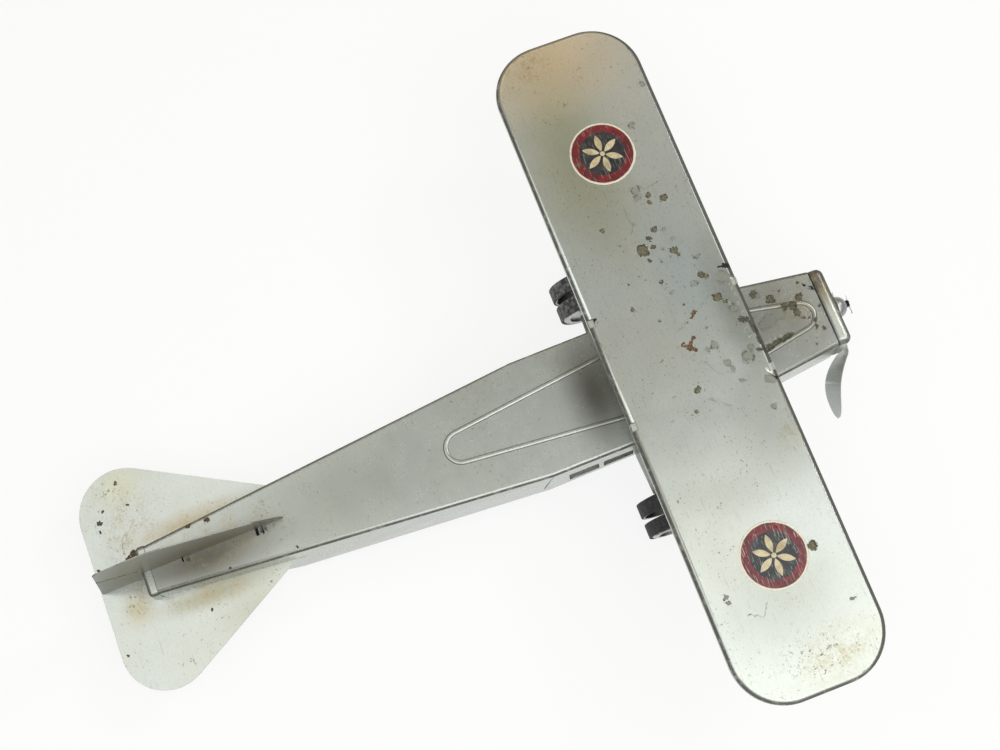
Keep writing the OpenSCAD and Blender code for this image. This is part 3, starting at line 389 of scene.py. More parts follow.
def roundel_print(settings):
    """Returns the layer of printed transfers: a rosette in a dotted ring, the same on both wing halves."""
    def layer(tree, where, base, metal, matte, relief):
        axes = put(tree, "ShaderNodeSeparateXYZ", {0: where}).outputs
        side = math_node(tree, "SUBTRACT", math_node(tree, "ABSOLUTE", axes[0]), settings.roundel_offset)
        along = math_node(tree, "SUBTRACT", axes[1], (MID_CHORD - ROUNDEL_AHEAD) * MM)
        squared = math_node(tree, "ADD", times(tree, side, side), times(tree, along, along))
        wobble = math_node(tree, "MULTIPLY_ADD", grain(tree, where, 5 * MM, 3.0), 0.8 * MM, -0.4 * MM)
        clean = math_node(tree, "SQRT", squared)
        radius = math_node(tree, "ADD", clean, wobble)
        # Only the top face of the sheet is printed
        top = ramp(tree, axes[2], (WING_TOP - 0.4) * MM, (WING_TOP - 0.3) * MM, smooth=False)
        rim = settings.roundel_radius
        turn = math_node(tree, "ARCTAN2", along, side)

        def sector(count):
            """Angle from the middle of the nearest of equal sectors."""
            step = 2 * math.pi / count
            # Two whole turns are added, so that the remainder is never negative
            shifted = math_node(tree, "ADD", turn, step / 2 + 4 * math.pi)
            wrapped = math_node(tree, "MODULO", shifted, step)
            return math_node(tree, "SUBTRACT", wrapped, step / 2)

        def past(limit):
            """0 inside a share of the radius and 1 outside it."""
            return ramp(tree, radius, limit * rim - PRINT_BLUR, limit * rim + PRINT_BLUR)

        # Pointed petals and a small hub
        petal = sector(PETALS)
        reach = times(tree, clean, math_node(tree, "COSINE", petal))
        across = math_node(tree, "ABSOLUTE", times(tree, clean, math_node(tree, "SINE", petal)))
        bow = math_node(tree, "DIVIDE", math_node(tree, "SUBTRACT", reach, PETAL_MIDDLE * rim),
                        PETAL_HALF * rim)
        width = math_node(tree, "MULTIPLY_ADD", times(tree, bow, bow), -PETAL_FAT * rim, PETAL_FAT * rim)
        leaf = ramp(tree, math_node(tree, "SUBTRACT", width, across), -0.15 * MM, 0.2 * MM)
        hub = ramp(tree, clean, HUB_DOT * rim + PRINT_BLUR, HUB_DOT * rim - PRINT_BLUR)
        rosette = times(tree, most(tree, leaf, hub), top)
        # Small dots in the ring
        arc = times(tree, clean, sector(DOTS))
        out = math_node(tree, "SUBTRACT", clean, DOT_CIRCLE * rim)
        dot = math_node(tree, "SQRT", math_node(tree, "ADD", times(tree, arc, arc), times(tree, out, out)))
        dots = ramp(tree, dot, DOT_RIM * rim, DOT_CORE * rim)

        ageing = ramp(tree, grain(tree, where, 9 * MM, 4.0, 0.6), 0.35, 0.7)
        red = blend(tree, ageing, colour("#7C2029"), colour("#541A20"))
        red = blend(tree, times(tree, dots, 0.75), red, colour("#3A1418"))
        navy = blend(tree, ageing, colour("#1E2126"), colour("#36383A"))
        cream = blend(tree, ageing, colour("#D2C4A2"), colour("#A99872"))
        ink = blend(tree, past(RING_FROM), navy, red)
        ink = blend(tree, rosette, ink, cream)
        ink = blend(tree, past(RIM_FROM), ink, colour("#DED8C6"))
        # Rubbed places show the lacquer again
        rubs = most(tree, scratches(tree, where, 25, 9 * MM, 0.55 * MM, 0.64),
                    ramp(tree, grain(tree, where, 3.4 * MM, 5.0, 0.7), 0.66, 0.72))
        kept = math_node(tree, "SUBTRACT", 1.0, times(tree, rubs, 0.75))
        disc = times(tree, ramp(tree, radius, rim + PRINT_BLUR, rim - PRINT_BLUR), top)
        cover = times(tree, disc, kept)
        base = blend(tree, cover, base, ink)
        metal = times(tree, metal, math_node(tree, "SUBTRACT", 1.0, cover))
        matte = math_node(tree, "ADD", matte, times(tree, cover, 0.06))
        relief = math_node(tree, "ADD", relief, times(tree, disc, 0.15))
        return base, metal, matte, relief
    return layer


def worn_rubber(name):
    """Old hard rubber bands: charcoal to starboard, chalky and stained to port."""
    material, tree = new_material(name)
    where = put(tree, "ShaderNodeTexCoord").outputs["Object"]
    axes = put(tree, "ShaderNodeSeparateXYZ", {0: where}).outputs
    chalky = ramp(tree, axes[0], -10 * MM, 10 * MM)
    mottle = grain(tree, where, 3.2 * MM, 6.0, 0.68)
    dark = blend(tree, ramp(tree, mottle, 0.35, 0.7), colour("#2C2A2E"), colour("#47464A"))
    pale = blend(tree, ramp(tree, mottle, 0.38, 0.66), colour("#3A3A3B"), colour("#8C8E8E"))
    stain = times(tree, ramp(tree, grain(tree, where, 8 * MM, 3.0), 0.55, 0.7), 0.5)
    pale = blend(tree, stain, pale, colour("#8F866B"))
    base = blend(tree, chalky, dark, pale)
    cracks = specks(tree, where, 2.2 * MM, 0.5 * MM, 2.0)
    base = blend(tree, times(tree, cracks, 0.6), base, colour("#1B1A1B"))
    matte = math_node(tree, "MULTIPLY_ADD", mottle, 0.25, 0.55)
    finish_surface(tree, base, 0.0, matte, mottle, 0.35 * MM)
    return material


def dull_steel(name, light, dark, rusty, roughness=0.42):
    """Bare steel that has gone dull: grey metal under a thin film of brown."""
    material, tree = new_material(name)
    where = put(tree, "ShaderNodeTexCoord").outputs["Object"]
    mottle = grain(tree, where, 2.6 * MM, 5.0, 0.65)
    base = blend(tree, ramp(tree, mottle, 0.35, 0.7), colour(light), colour(dark))
    film = ramp(tree, grain(tree, where, 6 * MM, 4.0, 0.6), 0.62 - rusty * 0.3, 0.8 - rusty * 0.3)
    base = blend(tree, film, base, colour("#6E5236"))
    metal = math_node(tree, "SUBTRACT", 0.95, times(tree, film, 0.85))
    matte = math_node(tree, "MULTIPLY_ADD", film, 0.35, roughness)
    finish_surface(tree, base, metal, matte, mottle, 0.08 * MM)
    return material


def dull_brass(name):
    """Turned brass, tarnished to a brown gold."""
    material, tree = new_material(name)
    where = put(tree, "ShaderNodeTexCoord").outputs["Object"]
    mottle = grain(tree, where, 2 * MM, 4.0)
    base = blend(tree, ramp(tree, mottle, 0.35, 0.7), colour("#B08D4A"), colour("#6E5A35"))
    finish_surface(tree, base, 1.0, 0.38, mottle, 0.05 * MM)
    return material


def black_iron_wire(name):
    """Annealed binding wire: near black, with a dull sheen."""
    material, tree = new_material(name)
    where = put(tree, "ShaderNodeTexCoord").outputs["Object"]
    mottle = grain(tree, where, 0.7 * MM, 3.0)
    base = blend(tree, ramp(tree, mottle, 0.4, 0.7), colour("#141315"), colour("#2E2B2C"))
    finish_surface(tree, base, 0.6, 0.5, mottle, 0.04 * MM)
    return material


# Corners of the CAD meshes nearer than this are one, and edges sharper than this angle are broken
WELD_REACH = 0.004 * MM
SHARP = math.radians(42)


def dress(material, *nodes, soft=0.0):
    """Gives CAD nodes a material and, where soft is set, edges broken by that much."""
    for name in nodes:
        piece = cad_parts[name]
        if not piece.material_slots:
            piece.data.materials.append(material)
        for place in piece.material_slots:
            place.material = material
        if soft:
            weld = piece.modifiers.new("welded corners", "WELD")
            weld.merge_threshold = WELD_REACH
            bevel = piece.modifiers.new("broken edges", "BEVEL")
            bevel.width = soft
            bevel.segments = 2
            bevel.limit_method = "ANGLE"
            bevel.angle_limit = SHARP
            bevel.harden_normals = True


def add_piece(name, data, body, material):
    """A piece of the airplane made here, riding on a body."""
    piece = bpy.data.objects.new(name, data)
    bpy.context.scene.collection.objects.link(piece)
    piece.data.materials.append(material)
    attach(piece, body)
    return piece


def finished_mesh(name, mesh):
    """Turns a bmesh into mesh data, with its faces turned outwards."""
    bmesh.ops.recalc_face_normals(mesh, faces=mesh.faces)
    result = bpy.data.meshes.new(name)
    mesh.to_mesh(result)
    mesh.free()
    return result


def wire_curve(name, thickness):
    """An empty curve that is drawn as round wire."""
    curve = bpy.data.curves.new(name, "CURVE")
    curve.dimensions = "3D"
    curve.bevel_depth = thickness / 2
    curve.bevel_resolution = 3
    curve.use_fill_caps = True
    return curve


def add_wire(curve, points, taper=None):
    """One smooth run of wire through the points, with its own thickness at each point."""
    run = curve.splines.new("NURBS")
    run.points.add(len(points) - 1)
    for k, (place, point) in enumerate(zip(points, run.points)):
        point.co = (*place, 1.0)
        point.radius = taper[k] if taper else 1.0
    run.order_u = 3
    run.use_endpoint_u = True


def studio_floor(name, settings):
    """Matt white backdrop paper: shows plain white to the camera and keeps a soft shadow."""
    material, tree = new_material(name)
    path = put(tree, "ShaderNodeLightPath").outputs
    seen = most(tree, path["Is Camera Ray"], path["Is Glossy Ray"], path["Is Transmission Ray"])
    paper = put(tree, "ShaderNodeBsdfDiffuse", {"Color": (*settings.floor_colour, 1.0), "Roughness": 0.5})
    white = put(tree, "ShaderNodeEmission", {"Color": (1, 1, 1, 1), "Strength": 1.0})
    share = times(tree, seen, settings.floor_white)
    mixed = put(tree, "ShaderNodeMixShader", {0: share, 1: paper.outputs[0], 2: white.outputs[0]})
    put(tree, "ShaderNodeOutputMaterial", {"Surface": mixed.outputs[0]})
    return material


def soft_room(studio):
    """Even grey light all round: palest overhead, dim towards the horizon, a little warmer to port."""
    world = bpy.data.worlds.new("soft grey room")
    world.use_nodes = True
    tree = world.node_tree
    tree.nodes.clear()
    direction = put(tree, "ShaderNodeTexCoord").outputs["Generated"]
    axes = put(tree, "ShaderNodeSeparateXYZ", {0: direction}).outputs
    height = ramp(tree, axes[2], 0.1, 0.85)
    strength = math_node(tree, "MULTIPLY_ADD", height, studio.sky - studio.horizon, studio.horizon)
    tint = blend(tree, ramp(tree, axes[0], 0.28, 0.5), colour("#F4F6F2"), colour("#F6E4C8"))
    sky = put(tree, "ShaderNodeBackground", {"Color": tint, "Strength": strength})
    # The camera sees plain white past the paper, much as on it
    seen = put(tree, "ShaderNodeLightPath").outputs["Is Camera Ray"]
    plain = put(tree, "ShaderNodeBackground", {"Color": (1, 1, 1, 1), "Strength": studio.far_white})
    mixed = put(tree, "ShaderNodeMixShader", {0: seen, 1: sky.outputs[0], 2: plain.outputs[0]})
    put(tree, "ShaderNodeOutputWorld", {"Surface": mixed.outputs[0]})
    return world


class StudioSettings(bpy.types.PropertyGroup):
    """Camera, lamps and floor."""
    camera_place: FloatVectorProperty(
        name="Camera place", description="Where the camera stands", subtype="XYZ", unit="LENGTH",
        default=(-0.26419, 0.08675, 1.39460))
    camera_aim: FloatVectorProperty(
        name="Camera aim", description="Point in the middle of the frame", subtype="XYZ", unit="LENGTH",
        default=(0.04408, -0.03739, 0.106))
    camera_roll: FloatProperty(
        name="Camera roll", description="Turn of the camera about its own line of sight", subtype="ANGLE",
        default=math.radians(1.022))
    camera_lens: FloatProperty(
        name="Lens", description="Focal length on a 36 mm wide frame", default=57.205, min=20, max=200)
    sky: FloatProperty(
        name="Sky", description="Strength of the room light overhead", default=0.34, min=0, max=3)
    horizon: FloatProperty(
        name="Horizon", description="Strength of the room light at the horizon", default=0.1, min=0, max=3)
    key: FloatProperty(
        name="Key lamp", description="Brightness of the lamp off the nose", default=13.0, min=0)
    starboard_panel: FloatProperty(
        name="Starboard panel", description="Brightness of the large panel over the starboard wing",
        default=2.1, min=0)
    aft_panel: FloatProperty(
        name="Aft panel", description="Brightness of the panel over the tail", default=1.3, min=0)
    port_panel: FloatProperty(
        name="Port panel", description="Brightness of the small warm panel off the port tip",
        default=1.1, min=0)
    floor_white: FloatProperty(
        name="Floor white", description="Share of plain white in the floor as the camera sees it",
        default=0.85, min=0, max=1)
    far_white: FloatProperty(
        name="Far white", description="Brightness past the floor's edge as the camera sees it",
        default=0.95, min=0, max=1)
    floor_colour: FloatVectorProperty(
        name="Floor colour", description="Colour of the backdrop paper", subtype="COLOR",
        default=linear("#F4F4F2"))


class AirplaneSettings(bpy.types.PropertyGroup):
    """Sizes of the prints, the worn edges and the pieces made here."""
    roundel_radius: FloatProperty(
        name="Roundel radius", description="Radius of a printed roundel", unit="LENGTH",
        default=27.5 * MM)
    roundel_offset: FloatProperty(
        name="Roundel offset", description="Distance of a roundel from the middle of the wing",
        unit="LENGTH", default=180.3 * MM)
    bead_width: FloatProperty(
        name="Bead width", description="Width of the round bead on the deck", unit="LENGTH",
        default=4.2 * MM)
    bead_height: FloatProperty(
        name="Bead height", description="Height of the round bead over the deck", unit="LENGTH",
        default=1.08 * MM)
    broken_edge: FloatProperty(
        name="Broken edge", description="How far sharp sheet edges are rounded", unit="LENGTH",
        default=0.34 * MM)
    sheet_edge: FloatProperty(
        name="Flat sheet edge", description="How far the edges of the tail sheets are rounded",
        unit="LENGTH", default=0.46 * MM)
    knot_wire: FloatProperty(
        name="Knot wire", description="Thickness of the binding wire", unit="LENGTH", default=0.8 * MM)
    knot_seed: IntProperty(name="Knot seed", description="Picks how the loose wire ends lie", default=5)


# Marks on top of the wing, in mm: across, behind mid chord, and radius; a stroke has a second pair of numbers
# before its radius
WING_MARKS = {
    "bare": [(45, -54, 6.0), (-47, -53.5, -49.6, -59, 3.0), (42, -59, 4.0)],
    "ghost": [
        (69, -41, 2.6), (48, -30, 3.2), (17, -52, 3.8), (-6, -25, 3.4), (-8, -18, 2.4), (-24, -47, 5.2),
        (-18, -52, 2.8), (-24, -29, 3.2), (-30, -31, 2.4), (140, -16, 4.4), (133, -14, 3.0),
        (195, -34, 2.8), (-70, -50, 2.6), (-197, 46, 2.4), (-202, 46, 2.4), (227, -56, 2.6),
        (-233, -46, 2.2), (85, -17, 1.6), (90, -29, 1.6), (48, -10, 1.6), (10, -25, 1.5),
        (-41, -34, 1.8), (100, -24, 1.8), (-160, -12, 1.6)],
    "khaki": [
        (89, -1, 5.2), (103, -17, 2.6), (80, -26, 3.4), (76, -28, 2.2), (53, -38, 3.2), (50, -42, 2.8),
        (45, 26, 2.2), (30, -43, 4.2), (25, -47, 2.4), (29, 9, 1.5), (-36, 2, 2.4), (117, 24, 2.2),
        (126, -35, 3.0), (133, -24, 2.4), (126, -22, 2.2), (-52, 9, 1.8), (-184, -33, 4.2)],
    "dark": [
        (97, -10, 2.6), (89, -10, 2.4), (78, -4, 1.7), (58, -5, 2.2), (66, 21, 1.6), (34, -15, 1.3),
        (79, -3, 1.5), (6.7, -53, 5, -57.6, 2.2), (5, -57.6, -1.4, -60.2, 1.9),
        (-1.4, -60.2, -7.3, -61.2, 1.8), (-7.3, -61, -13.3, -60.6, 1.7), (-13.3, -60.4, -19, -61.4, 1.6),
        (-19, -61.4, -26, -62.4, 1.3), (-24, -62, -21.5, -56, 1.2)],
    "ruddy": [
        (25.5, -20.5, 1.9), (21.7, -16.1, 25.5, -20.5, 1.3), (-1, -6, 3.4), (-1, -6, 5.8, -11.4, 1.6),
        (-0.5, -5, 3, -1, 1.2), (-3.6, -9, 1.9)],
    # painted shade in the tears and notches of the wing
    "painted_hole_shade": [
        (52, -62, 54.6, -53.5, 1.0), (53.5, -63, 50.6, -62.6, 1.6), (54, -59, 1.7),
        (-41.5, -56.3, -48.3, -61, 0.8), (-48.6, -61.5, 1.4), (47.4, 61, 47.2, 57.6, 1.3),
        (45, 60.5, 0.9)],
    # painted highlight on the curled edge of a tear
    "painted_highlight": [(-40.6, -57.4, -44, -59.6, 1.4)],
    "hair": [
        (13.8, 1.3, 29.7, -30.9, 0.26), (58, -4.6, 26.6, -3.2, 0.16), (26.6, -3.2, 17, 0, 0.18),
        (129, -1, 119, 0, 0.4), (119, 0, 113, -3, 0.36), (113, -3, 106, 2, 0.4),
        (144, -18, 138, -24, 0.3), (138, -24, 141, -35, 0.3), (-12, -8, -30, -20, 0.2),
        (-58, -18, -44, -2, 0.2), (-212, 18, -222, 24, 0.28), (-222, 24, -216, 34, 0.26)],
}

# The same on the hood and the deck
DECK_MARKS = {
    "bare": [(5, -86, 7.0), (8, -96, 6.0), (3, -80, 5.0), (31, -84, 4.0)],
    "olive": [
        (11, -110, 4.6), (4, -111, 3.6), (16, -118, 3.4), (22, -94, 4.2), (31, -82, 3.2),
        (12, -103, 3.0), (-15, -76, -12.6, -97, 2.4)],
    "dark": [
        (-2.6, -114.5, 1.5), (-7.4, -122.5, 1.7), (-16.5, -126.8, 1.7), (-13, -122, 1.3),
        (-26.4, -116, 1.4), (3, -131, 1.2), (-4, -119, 1.2), (27, -104, 1.2), (10, -112, 1.8),
        (-13.6, -88, 1.6), (-20, -70, -11, -101, 0.6), (28, -122, 1.0), (-22, -108, 1.0)],
    "ruddy": [(22, 413, 2.2), (23, 429, 2.4)],
    # painted shade in torn openings of the deck
    "painted_hole_shade": [(19.8, -131.4, 2.1), (23.6, -126, 1.5), (-23, 407, 1.1), (-28, 349, 1.2)],
}

# The same on the stabilizer
STABILIZER_MARKS = {
    "dark": [
        (59, 503, 2.0), (67, 497, 1.3), (51, 504, 1.5), (65, 475, 1.4), (-47, 435, 1.1), (20, 516, 1.8),
        (-57, 514, 1.1)],
    "ruddy": [(19, 487, 3.4), (23, 483, 2.6), (15, 492, 2.6)],
    "khaki": [(86, 479, 1.8)],
}

# Painted shade along the slit in the rudder: ends (behind mid chord, over the floor) and half width, in mm
SLIT_SHADE = ((479, 83.8), (511, 98.7), 0.9)


def on_sheet(marks, height):
    """Marks of a table, by kind, put at a height over the floor."""
    placed = {}
    for kind, places in marks.items():
        placed[kind] = []
        for x, y, *rest in places:
            spot = [x, MID_CHORD + y, height]
            if len(rest) > 1:
                spot += [rest[0], MID_CHORD + rest[1], height]
            placed[kind].append((*spot, rest[-1]))
    return placed


class TOYPLANE_OT_wing(bpy.types.Operator):
    """Wing sheet: lacquer, rust crusts, stains and the printed roundels"""
    bl_idname = "toyplane.wing"
    bl_label = "Wing"

    def execute(self, context):
        settings = context.scene.airplane
        y, z = MID_CHORD, WING_TOP
        material = aluminium_lacquered_steel(
            "wing", marks=on_sheet(WING_MARKS, z),
            rust=[((14, y - 56, z), (44, 10, 20)), ((-262, y - 6, z), (34, 52, 30))],
            grime=[((278, y + 34, z), (34, 44, 30)), ((-268, y - 20, z), (30, 50, 30)),
                   ((-97, y - 52, z), (20, 12, 20))],
            # The first three tints are painted reflection: a yellowish band on the port trailing half, a
            # cooler band on the leading half and a warm glow at the port tip
            tints_and_painted_light=[((190, y + 22, z), (150, 56, 40), "#A5A88C", 0.8),
                   ((60, y - 28, z), (100, 44, 40), "#B6C3C5", 0.7),
                   ((275, y + 10, z), (70, 90, 40), "#D6C19C", 0.65),
                   ((16, y - 52, z), (90, 26, 40), "#8A8E86", 0.7),
                   ((-212, y + 6, z), (70, 90, 40), "#A9ACA4", 0.75),
                   ((-80, y - 42, z), (70, 44, 40), "#A9ACA6", 0.5)],
            tone_and_shade=0.93, roughness=0.24, nose_shade_amount=0.9, prints=roundel_print(settings))
        dress(material, "wing_panel", soft=settings.broken_edge)
        return {"FINISHED"}


# The bead pressed into the deck, in mm: half its width at mid chord, then for each half how far it reaches,
# the radius of its round end, the slope of the deck under it in degrees and the way it runs
BEAD_HALF = 34.0
AFT_SLOPE, HOOD_SLOPE = 5.72, 1.68
BEAD_HALVES = ((207.0, 13.3, AFT_SLOPE, 1), (124.5, 12.0, HOOD_SLOPE, -1))
DECK_TOP = 116.6
# Steps along its straight runs, round its end and over its back, and how far its foot is sunk in mm
RUN_STEPS, END_STEPS, BACK_STEPS = 12, 24, 10
BEAD_SUNK = 0.02
# Only the faces under its straight runs are larger than this, in square metres, and they stay flat
LARGEST_SMOOTH = 28 * MM * MM


def bead_line(reach, end_radius):
    """One half of the loop on its own plane: a straight run, the round end, and the run back."""
    run = reach - end_radius
    lean = math.acos(end_radius / math.hypot(BEAD_HALF, run)) - math.atan2(run, BEAD_HALF)
    first = (end_radius * math.cos(lean), run + end_radius * math.sin(lean))
    start = ((end_radius + run * math.sin(lean)) / math.cos(lean), 0.0)
    points = []
    for k in range(RUN_STEPS):
        share = k / RUN_STEPS
        points.append((start[0] + (first[0] - start[0]) * share, start[1] + (first[1] - start[1]) * share))
    back = [(-x, y) for x, y in reversed(points)]
    sweep = math.pi - 2 * lean
    for k in range(END_STEPS + 1):
        angle = lean + sweep * k / END_STEPS
        points.append((end_radius * math.cos(angle), run + end_radius * math.sin(angle)))
    return points + back


def bead_ridge(settings):
    """Round back of the pressed bead: a low arch swept along both halves of the loop."""
    mesh = bmesh.new()
    half_width, height = settings.bead_width / 2 / MM, settings.bead_height / MM
    for reach, end_radius, slope, way in BEAD_HALVES:
        tilt = math.radians(slope)
        line = bead_line(reach, end_radius)
        rows = []
        for k, (x, y) in enumerate(line):
            before, after = line[max(k - 1, 0)], line[min(k + 1, len(line) - 1)]
            along = Vector((after[0] - before[0], after[1] - before[1])).normalized()
            row = []
            for m in range(BACK_STEPS + 1):
                angle = math.pi * m / BACK_STEPS
                offset = math.cos(angle) * half_width
                up = math.sin(angle) * height - BEAD_SUNK
                out_x, out_y = x + along.y * offset, y - along.x * offset
                aft = out_y * math.cos(tilt) + up * math.sin(tilt)
                high = DECK_TOP - out_y * math.sin(tilt) + up * math.cos(tilt)
                row.append(mesh.verts.new((out_x * MM, (MID_CHORD + way * aft) * MM, high * MM)))
            rows.append(row)
        for one, two in zip(rows, rows[1:]):
            for m in range(BACK_STEPS):
                mesh.faces.new((one[m], one[m + 1], two[m + 1], two[m]))
            mesh.faces.new((one[-1], one[0], two[0], two[-1]))
        mesh.faces.new(rows[0])
        mesh.faces.new(rows[-1])
    for face in mesh.faces:
        face.smooth = len(face.verts) == 4 and face.calc_area() < LARGEST_SMOOTH
    return finished_mesh("bead_ridge", mesh)


class TOYPLANE_OT_body(bpy.types.Operator):
    """Folded body sheet with its bead, nose cap, tail cap and belly"""
    bl_idname = "toyplane.body"
    bl_label = "Body"

    def execute(self, context):
        settings = context.scene.airplane
        low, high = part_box("body_deck")
        nose, tail, z = low.y / MM, high.y / MM, high.z / MM
        # Height of the deck near the tail, in mm
        rear_z = 70
        material = aluminium_lacquered_steel(
            "body", marks=on_sheet(DECK_MARKS, z),
            rust=[((11, nose + 22, z), (20, 18, 30)), ((-14, nose + 44, z), (9, 26, 30)),
                  ((0, tail - 110, rear_z), (34, 24, 40))],
            grime=[((8, nose + 26, z), (44, 44, 30)), ((4, tail - 60, rear_z), (34, 90, 40))],
            # painted shade over the hood, standing in for its darker reflection
            tints_and_painted_light=[((4, nose + 30, z), (90, 90, 60), "#90928D", 0.9),
                   # painted shadow of the wing on the deck behind its trailing edge
                   ((0, MID_CHORD + 74, z), (70, 34, 40), "#453F36", 0.95),
                   ((0, MID_CHORD + 320, rear_z + 10), (80, 150, 80), "#9C9F97", 0.75),
                   # painted shadow of the fin on the deck to starboard of it
                   ((-12, tail - 50, rear_z), (30, 96, 60), "#67645A", 0.95)],
            tone_and_shade=0.86, roughness=0.25)
        dress(material, "body_deck", soft=settings.broken_edge)
        walls = aluminium_lacquered_steel("walls", tone_and_shade=0.92, roughness=0.26, fold_shade_amount=0.4, shine=0.75)
        dress(walls, "body_side_port", "body_side_starboard")
        add_piece("bead_ridge", bead_ridge(settings), "airframe", material)
        cap = aluminium_lacquered_steel(
            "nose cap", rust=[((24, nose - 4, z), (26, 12, 12))],
            grime=[((22, nose - 4, z), (34, 20, 24))],
            tints_and_painted_light=[((24, nose - 4, z), (36, 24, 30), "#4E4336", 0.95),
                   # painted shade in the seam gap between the hood and the cap
                   ((0, nose - 1, z), (90, 3.4, 40), "#1B1712", 0.95)],
            tone_and_shade=0.86, roughness=0.34)
        dress(cap, "nose_cap", soft=settings.broken_edge)
        rear = aluminium_lacquered_steel("tail cap", tone_and_shade=0.86, roughness=0.26)
        dress(rear, "tail_cap", soft=settings.broken_edge)
        under = aluminium_lacquered_steel("belly", tone_and_shade=0.85, roughness=0.42)
        dress(under, "belly_plate")
        return {"FINISHED"}


# Small ears of the fin's tabs, bent over on the deck: name, where each starts and ends behind mid chord, how
# far it reaches to starboard and how far its free edge stands up, in mm
FIN_EARS = (("fin_ear_front", 368.0, 369.8, 4.6, 1.6), ("fin_ear_middle", 371.6, 373.4, 5.4, 2.2),
            ("fin_ear_rear", 437.0, 438.6, 4.4, 1.9))
EAR_STEPS = 6
# How far an ear starts from the middle and over the deck, and how thick it is, in mm
EAR_FROM, EAR_OVER, EAR_THICK = 0.6, 0.7, 0.5


def turned_ear(name, start, end, width, lean):
    """A short tab that leaves the fin's foot and curls up off the deck to starboard."""
    mesh = bmesh.new()
    slope = math.tan(math.radians(AFT_SLOPE))
    rows = []
    for y in (start, end):
        deck = DECK_TOP - y * slope
        row = []
        for k in range(EAR_STEPS + 1):
            share = k / EAR_STEPS
            place = (-EAR_FROM - width * share, MID_CHORD + y, deck + EAR_OVER + lean * share * share)
            row.append(mesh.verts.new([v * MM for v in place]))
        rows.append(row)
    for k in range(EAR_STEPS):
        mesh.faces.new((rows[0][k], rows[0][k + 1], rows[1][k + 1], rows[1][k]))
    bmesh.ops.solidify(mesh, geom=mesh.faces[:], thickness=EAR_THICK * MM)
    return finished_mesh(name, mesh)


class TOYPLANE_OT_tail(bpy.types.Operator):
    """Stabilizer, fin with rudder, and the fin's turned ears"""
    bl_idname = "toyplane.tail"
    bl_label = "Tail"

    def execute(self, context):
        settings = context.scene.airplane
        y, z = MID_CHORD, middle("stabilizer").z / MM
        stab = aluminium_lacquered_steel(
            "stabilizer", marks=on_sheet(STABILIZER_MARKS, z),
            rust=[((-15, y + 492, z), (24, 16, 30)), ((30, y + 492, z), (26, 16, 20)),
                  ((80, y + 484, z), (20, 22, 20))],
            grime=[((30, y + 420, z), (16, 60, 40)), ((-32, y + 430, z), (18, 70, 40)),
                   ((-16, y + 488, z), (26, 24, 40)), ((44, y + 480, z), (50, 40, 40))],
            tints_and_painted_light=[((30, y + 425, z), (17, 84, 40), "#B0A488", 0.75),
                   ((-34, y + 425, z), (16, 76, 40), "#9A9278", 0.8),
                   ((-60, y + 400, z), (36, 50, 40), "#B4B2A0", 0.6),
                   ((84, y + 478, z), (26, 30, 40), "#C9C8A8", 0.6),
                   ((-24, y + 494, z), (24, 20, 40), "#B5A87E", 0.6)],
            tone_and_shade=0.97, roughness=0.22, nose_shade_amount=0.9)
        dress(stab, "stabilizer", soft=settings.sheet_edge)
        (from_y, from_z), (to_y, to_z), half_width = SLIT_SHADE
        # The fin's mark is painted shade along the rudder slit
        fin = aluminium_lacquered_steel(
            "fin", marks={"painted_hole_shade": [(0, y + from_y, from_z, 0, y + to_y, to_z, half_width)]}, flat=(0, 1, 1),
            rust=[((0, y + 385, z + 16), (20, 30, 10))],
            grime=[((0, y + 440, z + 6), (20, 90, 14))],
            tints_and_painted_light=[((0, y + 420, z + 20), (20, 140, 80), "#A0937B", 0.95)],
            # painted shade: the whole fin is darkened, as its starboard face gets little light
            tone_and_shade=0.58, roughness=0.4, fold_shade_amount=0.5)
        dress(fin, "fin_rudder", soft=settings.sheet_edge)
        for name, *shape in FIN_EARS:
            add_piece(name, turned_ear(name, *shape), "airframe", stab)
        return {"FINISHED"}


class TOYPLANE_OT_cabin(bpy.types.Operator):
    """Cabin saddle under the wing"""
    bl_idname = "toyplane.cabin"
    bl_label = "Cabin saddle"

    def execute(self, context):
        dress(aluminium_lacquered_steel("cabin", tone_and_shade=0.85, roughness=0.34), "cabin_saddle")
        return {"FINISHED"}


class TOYPLANE_OT_gear(bpy.types.Operator):
    """Struts, skid, axle, shaft, bush, caps, washers and all rivets"""
    bl_idname = "toyplane.gear"
    bl_label = "Landing gear"

    def execute(self, context):
        strut = aluminium_lacquered_steel("struts", tone_and_shade=0.82, roughness=0.36)
        dress(strut, "strut_port", "strut_starboard", "tail_skid")
        rivets = dull_steel("dull steel rivets", "#A5A5A1", "#7C7B76", 0.4)
        dress(rivets, "gear_rivets", "saddle_rivets", "skid_rivet")
        dress(dull_steel("dull steel rods", "#8E8D8A", "#66645F", 0.5), "axle", "prop_shaft")
        washers = dull_steel("dull steel washers", "#A9A9A6", "#83827E", 0.3, 0.36)
        dress(washers, "washer_port", "washer_starboard", "spacer_port", "spacer_starboard", "prop_washer",
              "axle_cap_port", "axle_cap_starboard")
        dress(dull_brass("tarnished brass bush"), "nose_bush")
        return {"FINISHED"}


WHEEL_PLACES = ("port_outer", "port_inner", "starboard_inner", "starboard_outer")


class TOYPLANE_OT_wheels(bpy.types.Operator):
    """Four pressed wheels and their rubber bands"""
    bl_idname = "toyplane.wheels"
    bl_label = "Wheels"

    def execute(self, context):
        steel = aluminium_lacquered_steel("wheels", chipping=0.7, roughness=0.33)
        rubber = worn_rubber("worn hard rubber")
        dress(steel, *["wheel_" + place for place in WHEEL_PLACES])
        dress(rubber, *["tyre_" + place for place in WHEEL_PLACES])
        return {"FINISHED"}


